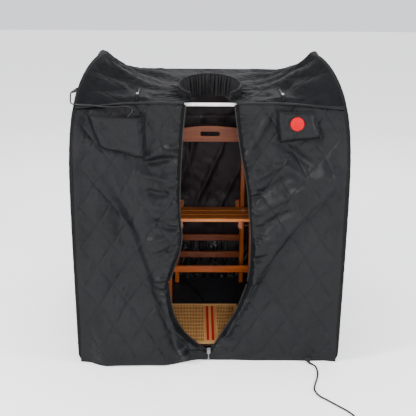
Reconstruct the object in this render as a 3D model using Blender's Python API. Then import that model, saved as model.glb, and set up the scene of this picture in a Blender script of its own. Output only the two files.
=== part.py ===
# Portable one-person sauna tent with folding wooden chair, slatted foot mat,
# radiant heater pads, corded handset and mains lead.
# Metres, +Z up, front towards -Y. Origin: middle of the footprint on the ground.
import bpy
import bmesh
import math
import numpy as np
from mathutils import Matrix, Vector

# ------------------------------------------------------------------ dimensions
HOOP_R = 0.008            # spring hoop in its padded sleeve, radius
HOOP_Y = 0.374            # hoop centre line, half depth of the tent
HOOP_X = 0.442            # hoop centre line, widest half width
HOOP_TOP = 0.995          # hoop centre line, height of its crown
EDGE = 0.0115             # cloth panels stop this far from the hoop's centre line
SKIN = 0.004              # quilted wall thickness
FRONT_Y0 = 0.368          # front wall at the ground, middle
FRONT_Y1 = 0.312          # front wall at the front ridge
RIDGE_F = 0.884           # height of the front ridge
RIDGE_R = 0.897           # height of the rear ridge
REAR_Y = 0.290            # rear ridge
FLAP_Z0 = 0.272           # lowest point of each lapel
FOLD_LO = 0.142           # lapel fold line, |x| at its lower end
FOLD_HI = 0.205           # lapel fold line, |x| at the ridge
ZIP_END = 0.030           # lower end of the front zip
ROD_R = 0.0055
NECK_C = (0.0, -0.165)    # neck hole
NECK_A, NECK_B = 0.103, 0.135

CHAIR_X = 0.011           # chair centre
POST_IN, POST_W, POST_D = 0.124, 0.018, 0.020
POST_Y, POST_TOP = 0.311, 0.702
LEG_IN, LEG_W, LEG_D = 0.1467, 0.020, 0.020
PIVOT_Z = 0.3524          # seat pivot on the posts
SEAT_TILT = math.radians(6.9)
SEAT_Q0, SEAT_Q1 = 0.028, 0.262
SEAT_TOP, SLAT_T, RAIL_H = -0.012, 0.013, 0.026
RAIL_IN, RAIL_W = 0.106, 0.015
LEG_Q, LEG_H = 0.240, -0.043
BOLT_R, HOLE_R = 0.0030, 0.0037

MAT_X0, MAT_X1, MAT_Y0, MAT_Y1 = -0.185, 0.115, -0.290, 0.045
FLOOR_T = 0.004

CORD_D = 0.006            # mains lead
CTRL_D = 0.005            # handset cable
MATL_D = 0.006            # foot mat lead
COIL_C, COIL_RI, COIL_RO = (0.5036, -0.8354), 0.024, 0.048
COIL_Z0, COIL_Z1 = 0.0018, 0.0143

# ------------------------------------------------------------------ scene reset
for ob in list(bpy.data.objects):
    bpy.data.objects.remove(ob, do_unlink=True)


def material(name, rgb, rough, metal=0.0):
    m = bpy.data.materials.new(name)
    m.use_nodes = True
    b = m.node_tree.nodes["Principled BSDF"]
    b.inputs["Base Color"].default_value = (rgb[0], rgb[1], rgb[2], 1.0)
    b.inputs["Roughness"].default_value = rough
    b.inputs["Metallic"].default_value = metal
    return m


def add(name, bm, mat, smooth=None):
    bmesh.ops.recalc_face_normals(bm, faces=bm.faces[:])
    me = bpy.data.meshes.new(name)
    bm.to_mesh(me)
    bm.free()
    me.materials.append(mat)
    ob = bpy.data.objects.new(name, me)
    bpy.context.scene.collection.objects.link(ob)
    if smooth:
        me.shade_smooth()
        me.set_sharp_from_angle(angle=math.radians(smooth))
    return ob


CLOTH = (0.012, 0.012, 0.014)
WOOD = (0.52, 0.20, 0.055)
BLACK = (0.015, 0.015, 0.016)


# ------------------------------------------------------------------ curve helpers
def catmull(pts, n, closed=False):
    """Centripetal-like smooth curve through the points, n samples per span."""
    P = [np.array(p, float) for p in pts]
    if not closed:
        P = [2 * P[0] - P[1]] + P + [2 * P[-1] - P[-2]]
        spans = range(1, len(P) - 2)
    else:
        spans = range(len(P))
    out = []
    for i in spans:
        if closed:
            a, b, c, d = (P[(i + k - 1) % len(P)] for k in range(4))
        else:
            a, b, c, d = P[i - 1], P[i], P[i + 1], P[i + 2]
        for k in range(n):
            t = k / n
            out.append(0.5 * ((2 * b) + (c - a) * t + (2 * a - 5 * b + 4 * c - d) * t * t
                              + (3 * b - a - 3 * c + d) * t ** 3))
    if not closed:
        out.append(P[-2])
    return np.array(out)


def resample(curve, n):
    seg = np.linalg.norm(np.diff(curve, axis=0), axis=1)
    s = np.concatenate([[0], np.cumsum(seg)])
    q = np.linspace(0, s[-1], n)
    return np.stack([np.interp(q, s, curve[:, k]) for k in range(curve.shape[1])], axis=1), s[-1]


def tube(name, pts, radius, mat, closed=False, res=2):
    cu = bpy.data.curves.new(name, "CURVE")
    cu.dimensions = "3D"
    sp = cu.splines.new("POLY")
    sp.points.add(len(pts) - 1)
    for p, q in zip(sp.points, pts):
        p.co = (q[0], q[1], q[2], 1.0)
    sp.use_cyclic_u = closed
    sp.use_smooth = True
    cu.bevel_depth = radius
    cu.bevel_resolution = res
    cu.use_fill_caps = not closed
    cu.materials.append(mat)
    ob = bpy.data.objects.new(name, cu)
    bpy.context.scene.collection.objects.link(ob)
    return ob


# ------------------------------------------------------------------ hoop outline
# Control points of the front half of the right hoop (x, y, z), ground to crown.
HOOP_PTS = [(0.4360, 0.000, 0.0090), (0.4360, -0.170, 0.0090), (0.4360, -0.335, 0.0090),
            (0.4362, -0.364, 0.0180), (0.4365, -HOOP_Y, 0.048), (0.4385, -HOOP_Y, 0.200),
            (0.4410, -HOOP_Y, 0.400), (HOOP_X, -0.3738, 0.580), (0.4415, -0.3660, 0.700),
            (0.4370, -0.3450, 0.800), (0.4290, -0.3100, 0.869), (0.4180, -0.2550, 0.921),
            (0.4020, -0.1700, 0.962), (0.3800, -0.0800, 0.987), (0.3560, 0.000, HOOP_TOP)]
_fr = catmull(HOOP_PTS, 12)
_fr[-1, 1] = 0.0
HOOP_F, _ = resample(_fr, 160)


def hoop_loop(side, n):
    rear = HOOP_F[::-1].copy()
    rear[:, 1] *= -1
    loop = np.concatenate([HOOP_F[:-1], rear[:-1]])
    loop = np.concatenate([loop, loop[:1]])
    pts, _ = resample(loop, n + 1)
    pts = pts[:-1]
    pts[:, 0] *= side
    return pts


_wall = HOOP_F[(HOOP_F[:, 2] > 0.05) & (HOOP_F[:, 1] < -0.30)]
_top = HOOP_F[(HOOP_F[:, 2] > 0.60)]


def hoop_at_z(z):
    """|x| and |y| of the hoop's upright at height z."""
    src = HOOP_F[60:]
    z = max(z, 0.0)
    if z < 0.05:
        return 0.4365, HOOP_Y
    sel = HOOP_F[(HOOP_F[:, 2] >= 0.049) & (HOOP_F[:, 1] < -0.001)]
    return float(np.interp(z, sel[:, 2], sel[:, 0])), float(-np.interp(z, sel[:, 2], sel[:, 1]))


def hoop_at_y(y):
    """|x| and z of the hoop's crown at distance |y| from its middle."""
    s = _top[::-1]
    a = min(abs(y), 0.373)
    return float(np.interp(a, -s[:, 1], s[:, 0])), float(np.interp(a, -s[:, 1], s[:, 2]))


def smooth(t):
    t = min(max(t, 0.0), 1.0)
    return t * t * (3 - 2 * t)


# ------------------------------------------------------------------ cloth surfaces
def top_z(x, y):
    xh, zh = hoop_at_y(y)
    t = (y + FRONT_Y1) / (REAR_Y + FRONT_Y1)
    zc = RIDGE_F + (RIDGE_R - RIDGE_F) * min(max(t, 0), 1)
    k = abs(x) / xh
    g = max(0.0, (k - 0.42) / 0.58) ** 1.6 if k > 0.42 else 0.0
    return zc + (zh - zc) * min(g, 1.0)


def front_y(x, z):
    flat = -(FRONT_Y0 + (FRONT_Y1 - FRONT_Y0) * min(z / 0.88, 1.02))
    _, yh = hoop_at_z(z)
    w = smooth((abs(x) - 0.25) / 0.19)
    return flat * (1 - w) - yh * w


def zip_x(side, z):
    """|x| of the open zip edge at height z; each side hangs a little differently."""
    if side < 0:
        tab = [(0.030, 0.0006), (0.060, 0.040), (0.100, 0.080), (0.150, 0.112), (0.200, 0.128),
               (0.272, 0.137), (0.320, 0.124), (0.380, 0.104), (0.440, 0.094), (0.520, 0.100),
               (0.620, 0.100), (0.720, 0.095), (0.800, 0.090), (0.880, 0.082)]
    else:
        tab = [(0.030, 0.0006), (0.060, 0.024), (0.100, 0.048), (0.150, 0.078), (0.200, 0.103),
               (0.272, 0.128), (0.320, 0.137), (0.380, 0.140), (0.440, 0.140), (0.520, 0.134),
               (0.620, 0.124), (0.720, 0.104), (0.800, 0.092), (0.880, 0.082)]
    t = np.array(tab)
    if z <= t[0, 0]:
        return 0.0006
    c = catmull([(a, b) for a, b in tab], 8)
    return float(np.interp(z, c[:, 0], c[:, 1]))


def fold_x(z):
    return FOLD_LO + (FOLD_HI - FOLD_LO) * (z - FLAP_Z0) / (0.880 - FLAP_Z0)


def shell(name, fn, nu, nv, thick, mat, inward):
    """Closed sheet solid: fn(u, v) is the outer face, inward(p) the side it thickens to."""
    U = np.linspace(0, 1, nu + 1)
    V = np.linspace(0, 1, nv + 1)
    G = np.array([[fn(u, v) for u in U] for v in V])
    du = np.gradient(G, axis=1)
    dv = np.gradient(G, axis=0)
    N = np.cross(du, dv)
    N /= np.linalg.norm(N, axis=2, keepdims=True)
    ref = np.array([[inward(G[j, i]) for i in range(nu + 1)] for j in range(nv + 1)])
    flip = np.sign((N * ref).sum(axis=2, keepdims=True))
    I = G + N * flip * thick
    bm = bmesh.new()
    a = [[bm.verts.new(G[j, i]) for i in range(nu + 1)] for j in range(nv + 1)]
    b = [[bm.verts.new(I[j, i]) for i in range(nu + 1)] for j in range(nv + 1)]
    for j in range(nv):
        for i in range(nu):
            bm.faces.new((a[j][i], a[j][i + 1], a[j + 1][i + 1], a[j + 1][i]))
            bm.faces.new((b[j][i], b[j + 1][i], b[j + 1][i + 1], b[j][i + 1]))
    for i in range(nu):
        bm.faces.new((a[0][i], b[0][i], b[0][i + 1], a[0][i + 1]))
        bm.faces.new((a[nv][i], a[nv][i + 1], b[nv][i + 1], b[nv][i]))
    for j in range(nv):
        bm.faces.new((a[j][0], a[j + 1][0], b[j + 1][0], b[j][0]))
        bm.faces.new((a[j][nu], b[j][nu], b[j + 1][nu], a[j + 1][nu]))
    return add(name, bm, mat, smooth=35)


m_cloth = material("cloth_shell", CLOTH, 0.55)
m_lining = material("cloth_lining", (0.020, 0.012, 0.018), 0.45)
m_bind = material("binding", (0.010, 0.010, 0.011), 0.6)

to_back = lambda p: np.array((0.0, 1.0, 0.0))
to_front = lambda p: np.array((0.0, -1.0, 0.0))
to_down = lambda p: np.array((0.0, 0.0, -1.0))


def front_point(x, z):
    zt = top_z(x, -FRONT_Y1) - 0.0065
    zz = 0.0006 + (zt - 0.0006) * (z / 0.880)
    return np.array((x, front_y(x, zz), zz))


def make_front(side, name):
    zs = np.concatenate([[0.0, 0.029], np.linspace(0.045, FLAP_Z0, 7), [FLAP_Z0 + 0.004], np.linspace(0.33, 0.88, 8)])

    def fn(u, v):
        z = float(np.interp(v, np.linspace(0, 1, len(zs)), zs))
        xi = zip_x(side, z) if z <= FLAP_Z0 + 1e-6 else fold_x(z)
        xo = hoop_at_z(z)[0] - EDGE
        return front_point(side * (xi + (xo - xi) * u), z)
    return shell(name, fn, 8, len(zs) - 1, SKIN, material(name, CLOTH, 0.55), to_back)


def make_flap(side, name):
    def fn(u, v):
        z = FLAP_Z0 + 0.006 + (0.878 - FLAP_Z0 - 0.006) * v
        xz = zip_x(side, z)
        xf = fold_x(z) - 0.0008
        if z < 0.30:
            xz = min(xz, xf - 0.006)
        return front_point(side * (xz + (xf - xz) * u), z)
    return shell(name, fn, 4, 12, SKIN, material(name, CLOTH, 0.55), to_back)


make_front(-1, "front_panel_left")
make_front(1, "front_panel_right")
make_flap(-1, "front_flap_left")
make_flap(1, "front_flap_right")


def back_fn(u, v):
    z = 0.0006 + 0.8885 * v
    xh, yh = hoop_at_z(z)
    x = (xh - EDGE) * (2 * u - 1)
    zt = top_z(x, REAR_Y) - 0.0065
    zz = 0.0006 + (zt - 0.0006) * v
    return np.array((x, hoop_at_z(zz)[1], zz))


shell("back_panel", back_fn, 10, 14, SKIN, material("back_panel", CLOTH, 0.55), to_front)


def make_side(side, name):
    F = HOOP_F
    tan = np.gradient(F, axis=0)
    # inward normal of the outline in the side view
    n = np.stack([tan[:, 2], -tan[:, 1]], axis=1)
    n /= np.linalg.norm(n, axis=1, keepdims=True)
    mid = np.array((0.0, 0.45))
    s = np.sign(((mid - F[:, 1:]) * n).sum(axis=1, keepdims=True))
    n = n * s
    inn = F.copy()
    inn[:, 1:] += n * EDGE
    rows = [k for k in range(len(inn)) if inn[k, 1] < -0.016]
    rows = [k for k in rows if (F[k, 1] < -0.352 or F[k, 2] > 0.5) and inn[k, 2] > 0.0262]
    zr = inn[rows]
    order = np.argsort(zr[:, 2])
    zr = zr[order]
    zq = np.concatenate([np.linspace(zr[0, 2], 0.80, 11)[:-1], np.linspace(0.80, zr[-1, 2], 9)])
    yq = np.interp(zq, zr[:, 2], zr[:, 1])
    xq = np.interp(zq, zr[:, 2], zr[:, 0])

    def fn(u, v):
        t = v * (len(zq) - 1)
        y = np.interp(t, range(len(zq)), yq)
        z = np.interp(t, range(len(zq)), zq)
        x = np.interp(t, range(len(zq)), xq)
        return np.array((side * x, y * (1 - 2 * u), z))
    return shell(name, fn, 6, len(zq) - 1, SKIN, material(name, CLOTH, 0.55),
                 lambda p: np.array((-side, 0.0, -0.2)))


make_side(-1, "side_panel_left")
make_side(1, "side_panel_right")


def make_top(name, x0f, x1f, y0, y1, nu, nv):
    def fn(u, v):
        y = y0 + (y1 - y0) * v
        a, b = x0f(y), x1f(y)
        x = a + (b - a) * u
        return np.array((x, y, top_z(x, y)))
    return shell(name, fn, nu, nv, SKIN, material(name, CLOTH, 0.55), to_down)


edge = lambda y: hoop_at_y(y)[0] - EDGE
make_top("top_panel_rear", lambda y: -edge(y), edge, -0.0200, REAR_Y - 0.0005, 14, 6)
make_top("top_panel_left", lambda y: -edge(y), lambda y: -0.1125, -FRONT_Y1, -0.0225, 6, 6)
make_top("top_panel_right", lambda y: 0.1125, edge, -FRONT_Y1, -0.0225, 6, 6)


def collar_fn(u, v):
    a = math.radians(38 + (360 - 76) * u)      # starts and ends either side of the front zip
    x = -NECK_A * math.sin(a)
    y = NECK_C[1] - NECK_B * math.cos(a)
    rear = 0.5 * (1 - math.cos(a))
    zt = 0.902 + 0.026 * rear
    return np.array((x, y, 0.858 + (zt - 0.858) * v))


shell("neck_collar", collar_fn, 20, 2, 0.005, material("neck_collar", BLACK, 0.7),
      lambda p: np.array((-p[0], NECK_C[1] - p[1], 0.0)))


# ground sheet
def box(name, lo, hi, mat, bev=0.0):
    bm = bmesh.new()
    bmesh.ops.create_cube(bm, size=1.0)
    for v in bm.verts:
        for k in range(3):
            v.co[k] = lo[k] if v.co[k] < 0 else hi[k]
    ob = add(name, bm, mat)
    if bev:
        md = ob.modifiers.new("edge", "BEVEL")
        md.width = bev
        md.segments = 1
        md.limit_method = "ANGLE"
    return ob


box("floor_sheet", (-0.424, -0.3615, 0.0), (0.424, 0.3680, FLOOR_T), material("floor_sheet", (0.03, 0.03, 0.04), 0.5))

# spring hoops in their sleeves
tube("hoop_left", hoop_loop(-1, 76), HOOP_R, material("hoop_left", BLACK, 0.6), closed=True, res=1)
tube("hoop_right", hoop_loop(1, 76), HOOP_R, material("hoop_right", BLACK, 0.6), closed=True, res=1)

# ridge rods
def rod(name, x0, x1, y, z, r, mat, n=12):
    bm = bmesh.new()
    bmesh.ops.create_cone(bm, cap_ends=True, segments=n, radius1=r, radius2=r, depth=x1 - x0,
                          matrix=Matrix.Translation(((x0 + x1) / 2, y, z)) @ Matrix.Rotation(math.pi / 2, 4, "Y"))
    return add(name, bm, mat, smooth=40)


rod("front_rod", -0.404, 0.404, -0.2850, 0.8720, ROD_R, material("front_rod", (0.85, 0.85, 0.84), 0.35))
rod("rear_rod", -0.404, 0.404, 0.2780, 0.8830, ROD_R, material("rear_rod", (0.85, 0.85, 0.84), 0.35))

# radiant heater pads behind the lining
def heater_back_fn(u, v):
    z = 0.14 + 0.56 * v
    return np.array((-0.21 + 0.42 * u, hoop_at_z(z)[1] - SKIN - 0.0006, z))


shell("heater_back", heater_back_fn, 1, 5, 0.006, material("heater_back", (0.05, 0.03, 0.05), 0.4), to_front)


def make_heater(side, name):
    def fn(u, v):
        z = 0.12 + 0.50 * v
        return np.array((side * (hoop_at_z(z)[0] - SKIN - 0.0006), -0.20 + 0.45 * u, z))
    return shell(name, fn, 1, 5, 0.006, material(name, (0.05, 0.03, 0.05), 0.4),
                 lambda p: np.array((-side, 0.0, 0.0)))


make_heater(-1, "heater_left")
make_heater(1, "heater_right")


# ------------------------------------------------------------------ pockets
def make_pocket(name, corners, depth):
    """corners: mouth outer, mouth inner, bottom inner, bottom outer as (x, z)."""
    c = [np.array(k) for k in corners]

    def fn(u, v):
        p = (c[3] * (1 - u) + c[2] * u) * (1 - v) + (c[0] * (1 - u) + c[1] * u) * v
        x, z = float(p[0]), float(p[1])
        k = min(1.0, min(u, 1 - u) / 0.16)
        kv = min(1.0, v / 0.20)
        off = 0.0032 + depth * (k * (2 - k)) * (kv * (2 - kv))
        return np.array((x, front_y(x, z) - off, z))
    return shell(name, fn, 12, 8, 0.0025, material(name, CLOTH, 0.5), to_back)


make_pocket("pocket_left", [(-0.392, 0.848), (-0.208, 0.838), (-0.203, 0.700), (-0.352, 0.738)], 0.0290)
make_pocket("pocket_right", [(0.330, 0.858), (0.210, 0.860), (0.219, 0.753), (0.357, 0.776)], 0.0200)

# plain sewn badge on the right pocket
bm = bmesh.new()
bmesh.ops.create_cone(bm, cap_ends=True, segments=8, radius1=0.0215, radius2=0.0215, depth=0.0016,
                      matrix=Matrix.Translation((0.276, front_y(0.276, 0.812) - 0.0278, 0.822))
                      @ Matrix.Rotation(math.radians(-3.4), 4, "X")
                      @ Matrix.Rotation(math.pi / 2, 4, "X") @ Matrix.Rotation(math.pi / 8, 4, "Z"))
add("pocket_badge", bm, material("pocket_badge", (0.45, 0.02, 0.02), 0.6))

# ------------------------------------------------------------------ front zip slider and pull
m_metal = material("zip_slider", (0.32, 0.32, 0.33), 0.35, 1.0)


def union(a, others):
    for o in others:
        md = a.modifiers.new("join", "BOOLEAN")
        md.operation = "UNION"
        md.solver = "EXACT"
        md.object = o
        o.hide_render = True
        o.display_type = "WIRE"
    return a


def cut(a, others):
    for o in others:
        md = a.modifiers.new("cut", "BOOLEAN")
        md.operation = "DIFFERENCE"
        md.solver = "EXACT"
        md.object = o
        o.hide_render = True
        o.display_type = "WIRE"
    return a


def cyl_x(name, x0, x1, y, z, r, n=12):
    o = rod(name, x0, x1, y, z, r, m_metal, n)
    return o


SL = -0.3760             # slider's back face sits 0.3 mm off the wall
base = box("zip_slider", (-0.0060, SL + 0.0030, 0.026), (0.0060, SL + 0.0072, 0.048), m_metal, 0.0010)
ear = []
for s in (-1, 1):
    ear.append(box("tool_ear_%d" % (s + 1), (s * 0.0044 - 0.0010, SL - 0.0016, 0.0385), (s * 0.0044 + 0.0010, SL + 0.0040, 0.0435), m_metal))
ear.append(cyl_x("tool_pin", -0.0046, 0.0046, SL + 0.0002, 0.0410, 0.0008, 8))
union(base, ear)

# hanging pull: barrel on the slider's cross pin, waist, grip
bm = bmesh.new()
outline = [(-0.0022, 0.0402), (-0.0013, 0.0370), (-0.0013, 0.0150)]
for k in range(9):
    a = math.radians(130 + 280 * k / 8)
    outline.append((0.0036 * math.cos(a), 0.0085 + 0.0036 * math.sin(a)))
outline += [(0.0013, 0.0150), (0.0013, 0.0370), (0.0022, 0.0402)]
vs = [bm.verts.new((x, SL - 0.0008, z)) for x, z in outline]
f = bm.faces.new(vs)
ext = bmesh.ops.extrude_face_region(bm, geom=[f])
for e in ext["geom"]:
    if isinstance(e, bmesh.types.BMVert):
        e.co.y += 0.0020
pull = add("zip_pull", bm, material("zip_pull", (0.34, 0.34, 0.35), 0.3, 1.0))
union(pull, [cyl_x("tool_pull_barrel", -0.0029, 0.0029, SL + 0.0002, 0.0410, 0.0024, 12)])
cut(pull, [cyl_x("tool_pull_bore", -0.0100, 0.0100, SL + 0.0002, 0.0410, 0.0013, 12)])


# ------------------------------------------------------------------ arm-hole zip sliders
def arm_slider(side, name):
    x = side * 0.235
    y0 = -0.262
    z0 = top_z(x, y0)
    zm = max(top_z(x, y) for y in np.linspace(-0.272, -0.160, 12))
    bm = bmesh.new()
    bmesh.ops.create_cube(bm, size=1.0)
    for v in bm.verts:
        v.co.x = x + v.co.x * 0.009
        v.co.y = y0 + v.co.y * 0.018
        v.co.z = zm + 0.0040 + v.co.z * 0.0045 + (0.0 if abs(v.co.x) < 9 else 0)
    ob = add(name, bm, material(name, (0.30, 0.30, 0.31), 0.35, 1.0))
    md = ob.modifiers.new("edge", "BEVEL")
    md.width = 0.0012
    md.segments = 1
    return ob


arm_slider(-1, "arm_zip_slider_left")
arm_slider(1, "arm_zip_slider_right")

# ------------------------------------------------------------------ handset in the left pocket
HX, HY, HZ0, HZ1 = -0.262, -0.3314, 0.747, 0.835
m_case = material("handset_case", (0.02, 0.02, 0.022), 0.4)
case = box("handset_case", (HX - 0.023, HY - 0.0065, HZ0), (HX + 0.023, HY + 0.0065, HZ1), m_case, 0.0020)
m_btn = material("handset_button", (0.25, 0.25, 0.26), 0.5)
cuts = [box("tool_display", (HX - 0.0165, HY - 0.02, HZ0 + 0.052), (HX + 0.0165, HY - 0.0045, HZ0 + 0.080), m_case)]
for nm, dx, dz, hw, hh in (("button_power", 0.0, 0.012, 0.0065, 0.0050),
                           ("button_minus", -0.0105, 0.034, 0.0062, 0.0060),
                           ("button_plus", 0.0105, 0.034, 0.0062, 0.0060)):
    g = 0.0005
    cuts.append(box("tool_" + nm, (HX + dx - hw - g, HY - 0.02, HZ0 + dz - hh - g),
                    (HX + dx + hw + g, HY - 0.0015, HZ0 + dz + hh + g), m_case))
    box(nm, (HX + dx - hw, HY - 0.0080, HZ0 + dz - hh), (HX + dx + hw, HY - 0.0034, HZ0 + dz + hh), m_btn, 0.0008)
cut(case, cuts)
box("handset_display", (HX - 0.0161, HY - 0.0063, HZ0 + 0.0524), (HX + 0.0161, HY - 0.0049, HZ0 + 0.0796),
    material("handset_display", (0.05, 0.06, 0.07), 0.1))

# moulded connector where the handset cable leaves the sleeve of the left hoop
_cx, _cz = hoop_at_y(-0.262)
_ax, _az = hoop_at_y(-0.257)
_bx, _bz = hoop_at_y(-0.267)
c_tan = Vector((-_ax + _bx, 0.010, _az - _bz)).normalized()
c_dir = Vector((-0.72, -0.20, -0.66))
c_dir = (c_dir - c_tan * c_dir.dot(c_tan)).normalized()      # square to the hoop
c_base = Vector((-_cx, -0.262, _cz)) + c_dir * (HOOP_R + 0.0008)
c_tip = c_base + c_dir * 0.024
bm = bmesh.new()
bmesh.ops.create_cone(bm, cap_ends=True, segments=12, radius1=0.0075, radius2=0.0050, depth=0.024,
                      matrix=Matrix.Translation(c_base + c_dir * 0.012) @ c_dir.to_track_quat("Z", "Y").to_matrix().to_4x4())
add("cable_connector", bm, material("cable_connector", BLACK, 0.5), smooth=40)

c0 = c_tip + c_dir * 0.0018
c1 = c_tip + c_dir * 0.0050
ctrl = [tuple(c0), tuple(c1), tuple(c_tip + c_dir * 0.0085 + Vector((0.0008, -0.0008, -0.0014))), (-0.4500, -0.2690, 0.8860), (-0.4480, -0.2860, 0.8775), (-0.4420, -0.3020, 0.8755),
        (-0.4280, -0.3205, 0.8770), (-0.4080, -0.3265, 0.8775), (-0.3850, -0.3250, 0.8765), (-0.3460, -0.3230, 0.8710),
        (-0.3060, -0.3225, 0.8690), (-0.2740, -0.3230, 0.8730), (-0.2530, -0.3245, 0.8710), (-0.2450, -0.3275, 0.8620),
        (-0.2490, -0.3300, 0.8500), (-0.2590, -0.3312, 0.8445), (-0.2618, -0.3312, 0.8400), (-0.2620, -0.3312, 0.8360)]
cpts, _ = resample(catmull(ctrl, 10), 34)
tube("handset_cable", cpts, CTRL_D / 2, material("handset_cable", BLACK, 0.5), res=2)

# ------------------------------------------------------------------ foot mat
box("mat_heating_pad", (MAT_X0 + 0.004, MAT_Y0 + 0.004, 0.0045), (MAT_X1 - 0.004, MAT_Y1 - 0.004, 0.0120),
    material("mat_heating_pad", (0.02, 0.02, 0.02), 0.8), 0.001)
box("mat_slatted_top", (MAT_X0, MAT_Y0, 0.0123), (MAT_X1, MAT_Y1, 0.0250),
    material("mat_slatted_top", (0.60, 0.34, 0.12), 0.5), 0.0015)
box("mat_lead_socket", (-0.4230, 0.2650, 0.0120), (-0.4040, 0.2950, 0.0320), material("mat_lead_socket", BLACK, 0.5), 0.002)
ml = [(-0.4025, 0.2800, 0.0200), (-0.3850, 0.2806, 0.0165), (-0.3550, 0.2880, 0.0085), (-0.3200, 0.3030, 0.0074),
      (-0.2700, 0.3230, 0.0074), (-0.2050, 0.3390, 0.0074), (-0.1450, 0.3400, 0.0074), (-0.0980, 0.3220, 0.0074), (-0.0720, 0.2780, 0.0074),
      (-0.0460, 0.2100, 0.0074), (-0.0180, 0.1350, 0.0074), (-0.0080, 0.0850, 0.0076), (-0.0060, 0.0560, 0.0080),
      (-0.0060, 0.0420, 0.0082)]
mpts, _ = resample(catmull(ml, 10), 40)
tube("mat_lead", mpts, MATL_D / 2, material("mat_lead", BLACK, 0.5), res=2)

# ------------------------------------------------------------------ mains lead
box("cord_grommet", (0.331, -0.3800, 0.0004), (0.349, -0.3700, 0.0130), material("cord_grommet", BLACK, 0.7), 0.0015)
hole = box("tool_wall_notch", (0.3306, -0.3900, -0.01), (0.3494, -0.3500, 0.0134), m_lining)
cut(bpy.data.objects["front_panel_right"], [hole])
lead = [(0.3400, -0.3806, 0.0050), (0.3402, -0.3850, 0.0048), (0.3435, -0.3960, 0.0037), (0.3600, -0.4150, 0.0031), (0.3635, -0.4520, 0.0031), (0.3570, -0.4950, 0.0031),
        (0.3430, -0.5440, 0.0031), (0.3380, -0.5760, 0.0031), (0.3480, -0.6100, 0.0031), (0.3680, -0.6340, 0.0031),
        (0.4000, -0.6730, 0.0031), (0.4220, -0.7000, 0.0031), (0.4380, -0.7280, 0.0031), (0.4495, -0.7600, 0.0031),
        (0.4555, -0.7880, 0.0036), (0.4564, -0.8154, 0.0048)]
lpts, lead_len = resample(catmull(lead, 10), 44)
tube("power_cord", lpts, CORD_D / 2, material("power_cord", BLACK, 0.5), res=2)


def lathe(name, prof, centre, n, mat):
    """Closed ring: prof is a loop of (r, z)."""
    bm = bmesh.new()
    rings = []
    for k in range(n):
        a = 2 * math.pi * k / n
        rings.append([bm.verts.new((centre[0] + r * math.cos(a), centre[1] + r * math.sin(a), z)) for r, z in prof])
    m = len(prof)
    for k in range(n):
        p, q = rings[k], rings[(k + 1) % n]
        for i in range(m):
            bm.faces.new((p[i], q[i], q[(i + 1) % m], p[(i + 1) % m]))
    return add(name, bm, mat, smooth=40)


c = 0.003
lathe("power_cord_coil", [(COIL_RI + c, COIL_Z0), (COIL_RO - c, COIL_Z0), (COIL_RO, COIL_Z0 + c), (COIL_RO, COIL_Z1 - c),
                          (COIL_RO - c, COIL_Z1), (COIL_RI + c, COIL_Z1), (COIL_RI, COIL_Z1 - c), (COIL_RI, COIL_Z0 + c)],
      COIL_C, 28, material("power_cord_coil", BLACK, 0.5))

# hook-and-loop tie round the coil
tie = box("coil_tie", (COIL_C[0] + COIL_RI - 0.0028, COIL_C[1] - 0.006, 0.0003), (COIL_C[0] + COIL_RO + 0.0016, COIL_C[1] + 0.006, COIL_Z1 + 0.0015),
          material("coil_tie", (0.03, 0.03, 0.03), 0.8))
cut(tie, [box("tool_tie", (COIL_C[0] + COIL_RI - 0.0016, COIL_C[1] - 0.02, COIL_Z0 - 0.0005),
              (COIL_C[0] + COIL_RO + 0.0005, COIL_C[1] + 0.02, COIL_Z1 + 0.0004), m_lining)])

PX = COIL_C[0] - 0.0625     # middle of the plug's rear face, beside the coil
PY = COIL_C[1] + 0.0040
plug = box("mains_plug", (PX - 0.0125, PY - 0.040, 0.0004), (PX + 0.0125, PY, 0.0184), material("mains_plug", BLACK, 0.45), 0.003)
pins = [box("tool_blade_%d" % k, (PX + s * 0.0063 - 0.00075, PY - 0.0560, 0.0062), (PX + s * 0.0063 + 0.00075, PY - 0.0380, 0.0126), m_metal)
        for k, s in enumerate((-1, 1))]
union(plug, pins)

# ------------------------------------------------------------------ folding chair
m_wood = lambda n: material(n, WOOD, 0.35)
cx = CHAIR_X
FT = FLOOR_T + 0.0004

for s, nm in ((-1, "left"), (1, "right")):
    a, b = sorted((cx + s * POST_IN, cx + s * (POST_IN + POST_W)))
    post = box("chair_post_" + nm, (a, POST_Y - POST_D / 2, FT), (b, POST_Y + POST_D / 2, POST_TOP), m_wood("chair_post_" + nm), 0.0025)
    cut(post, [cyl_x("tool_post_hole_" + nm, a - 0.01, b + 0.01, POST_Y, PIVOT_Z, HOLE_R)])


def seat_pt(q, h):
    """Seat frame to world: q forward from the pivot, h above it."""
    c, s = math.cos(SEAT_TILT), math.sin(SEAT_TILT)
    return POST_Y - q * c + h * s, PIVOT_Z + q * s + h * c


def prism_x(name, prof, x0, x1, mat):
    bm = bmesh.new()
    vs = [bm.verts.new((x0, y, z)) for y, z in prof]
    f = bm.faces.new(vs)
    ext = bmesh.ops.extrude_face_region(bm, geom=[f])
    for e in ext["geom"]:
        if isinstance(e, bmesh.types.BMVert):
            e.co.x = x1
    return add(name, bm, mat)


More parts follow.
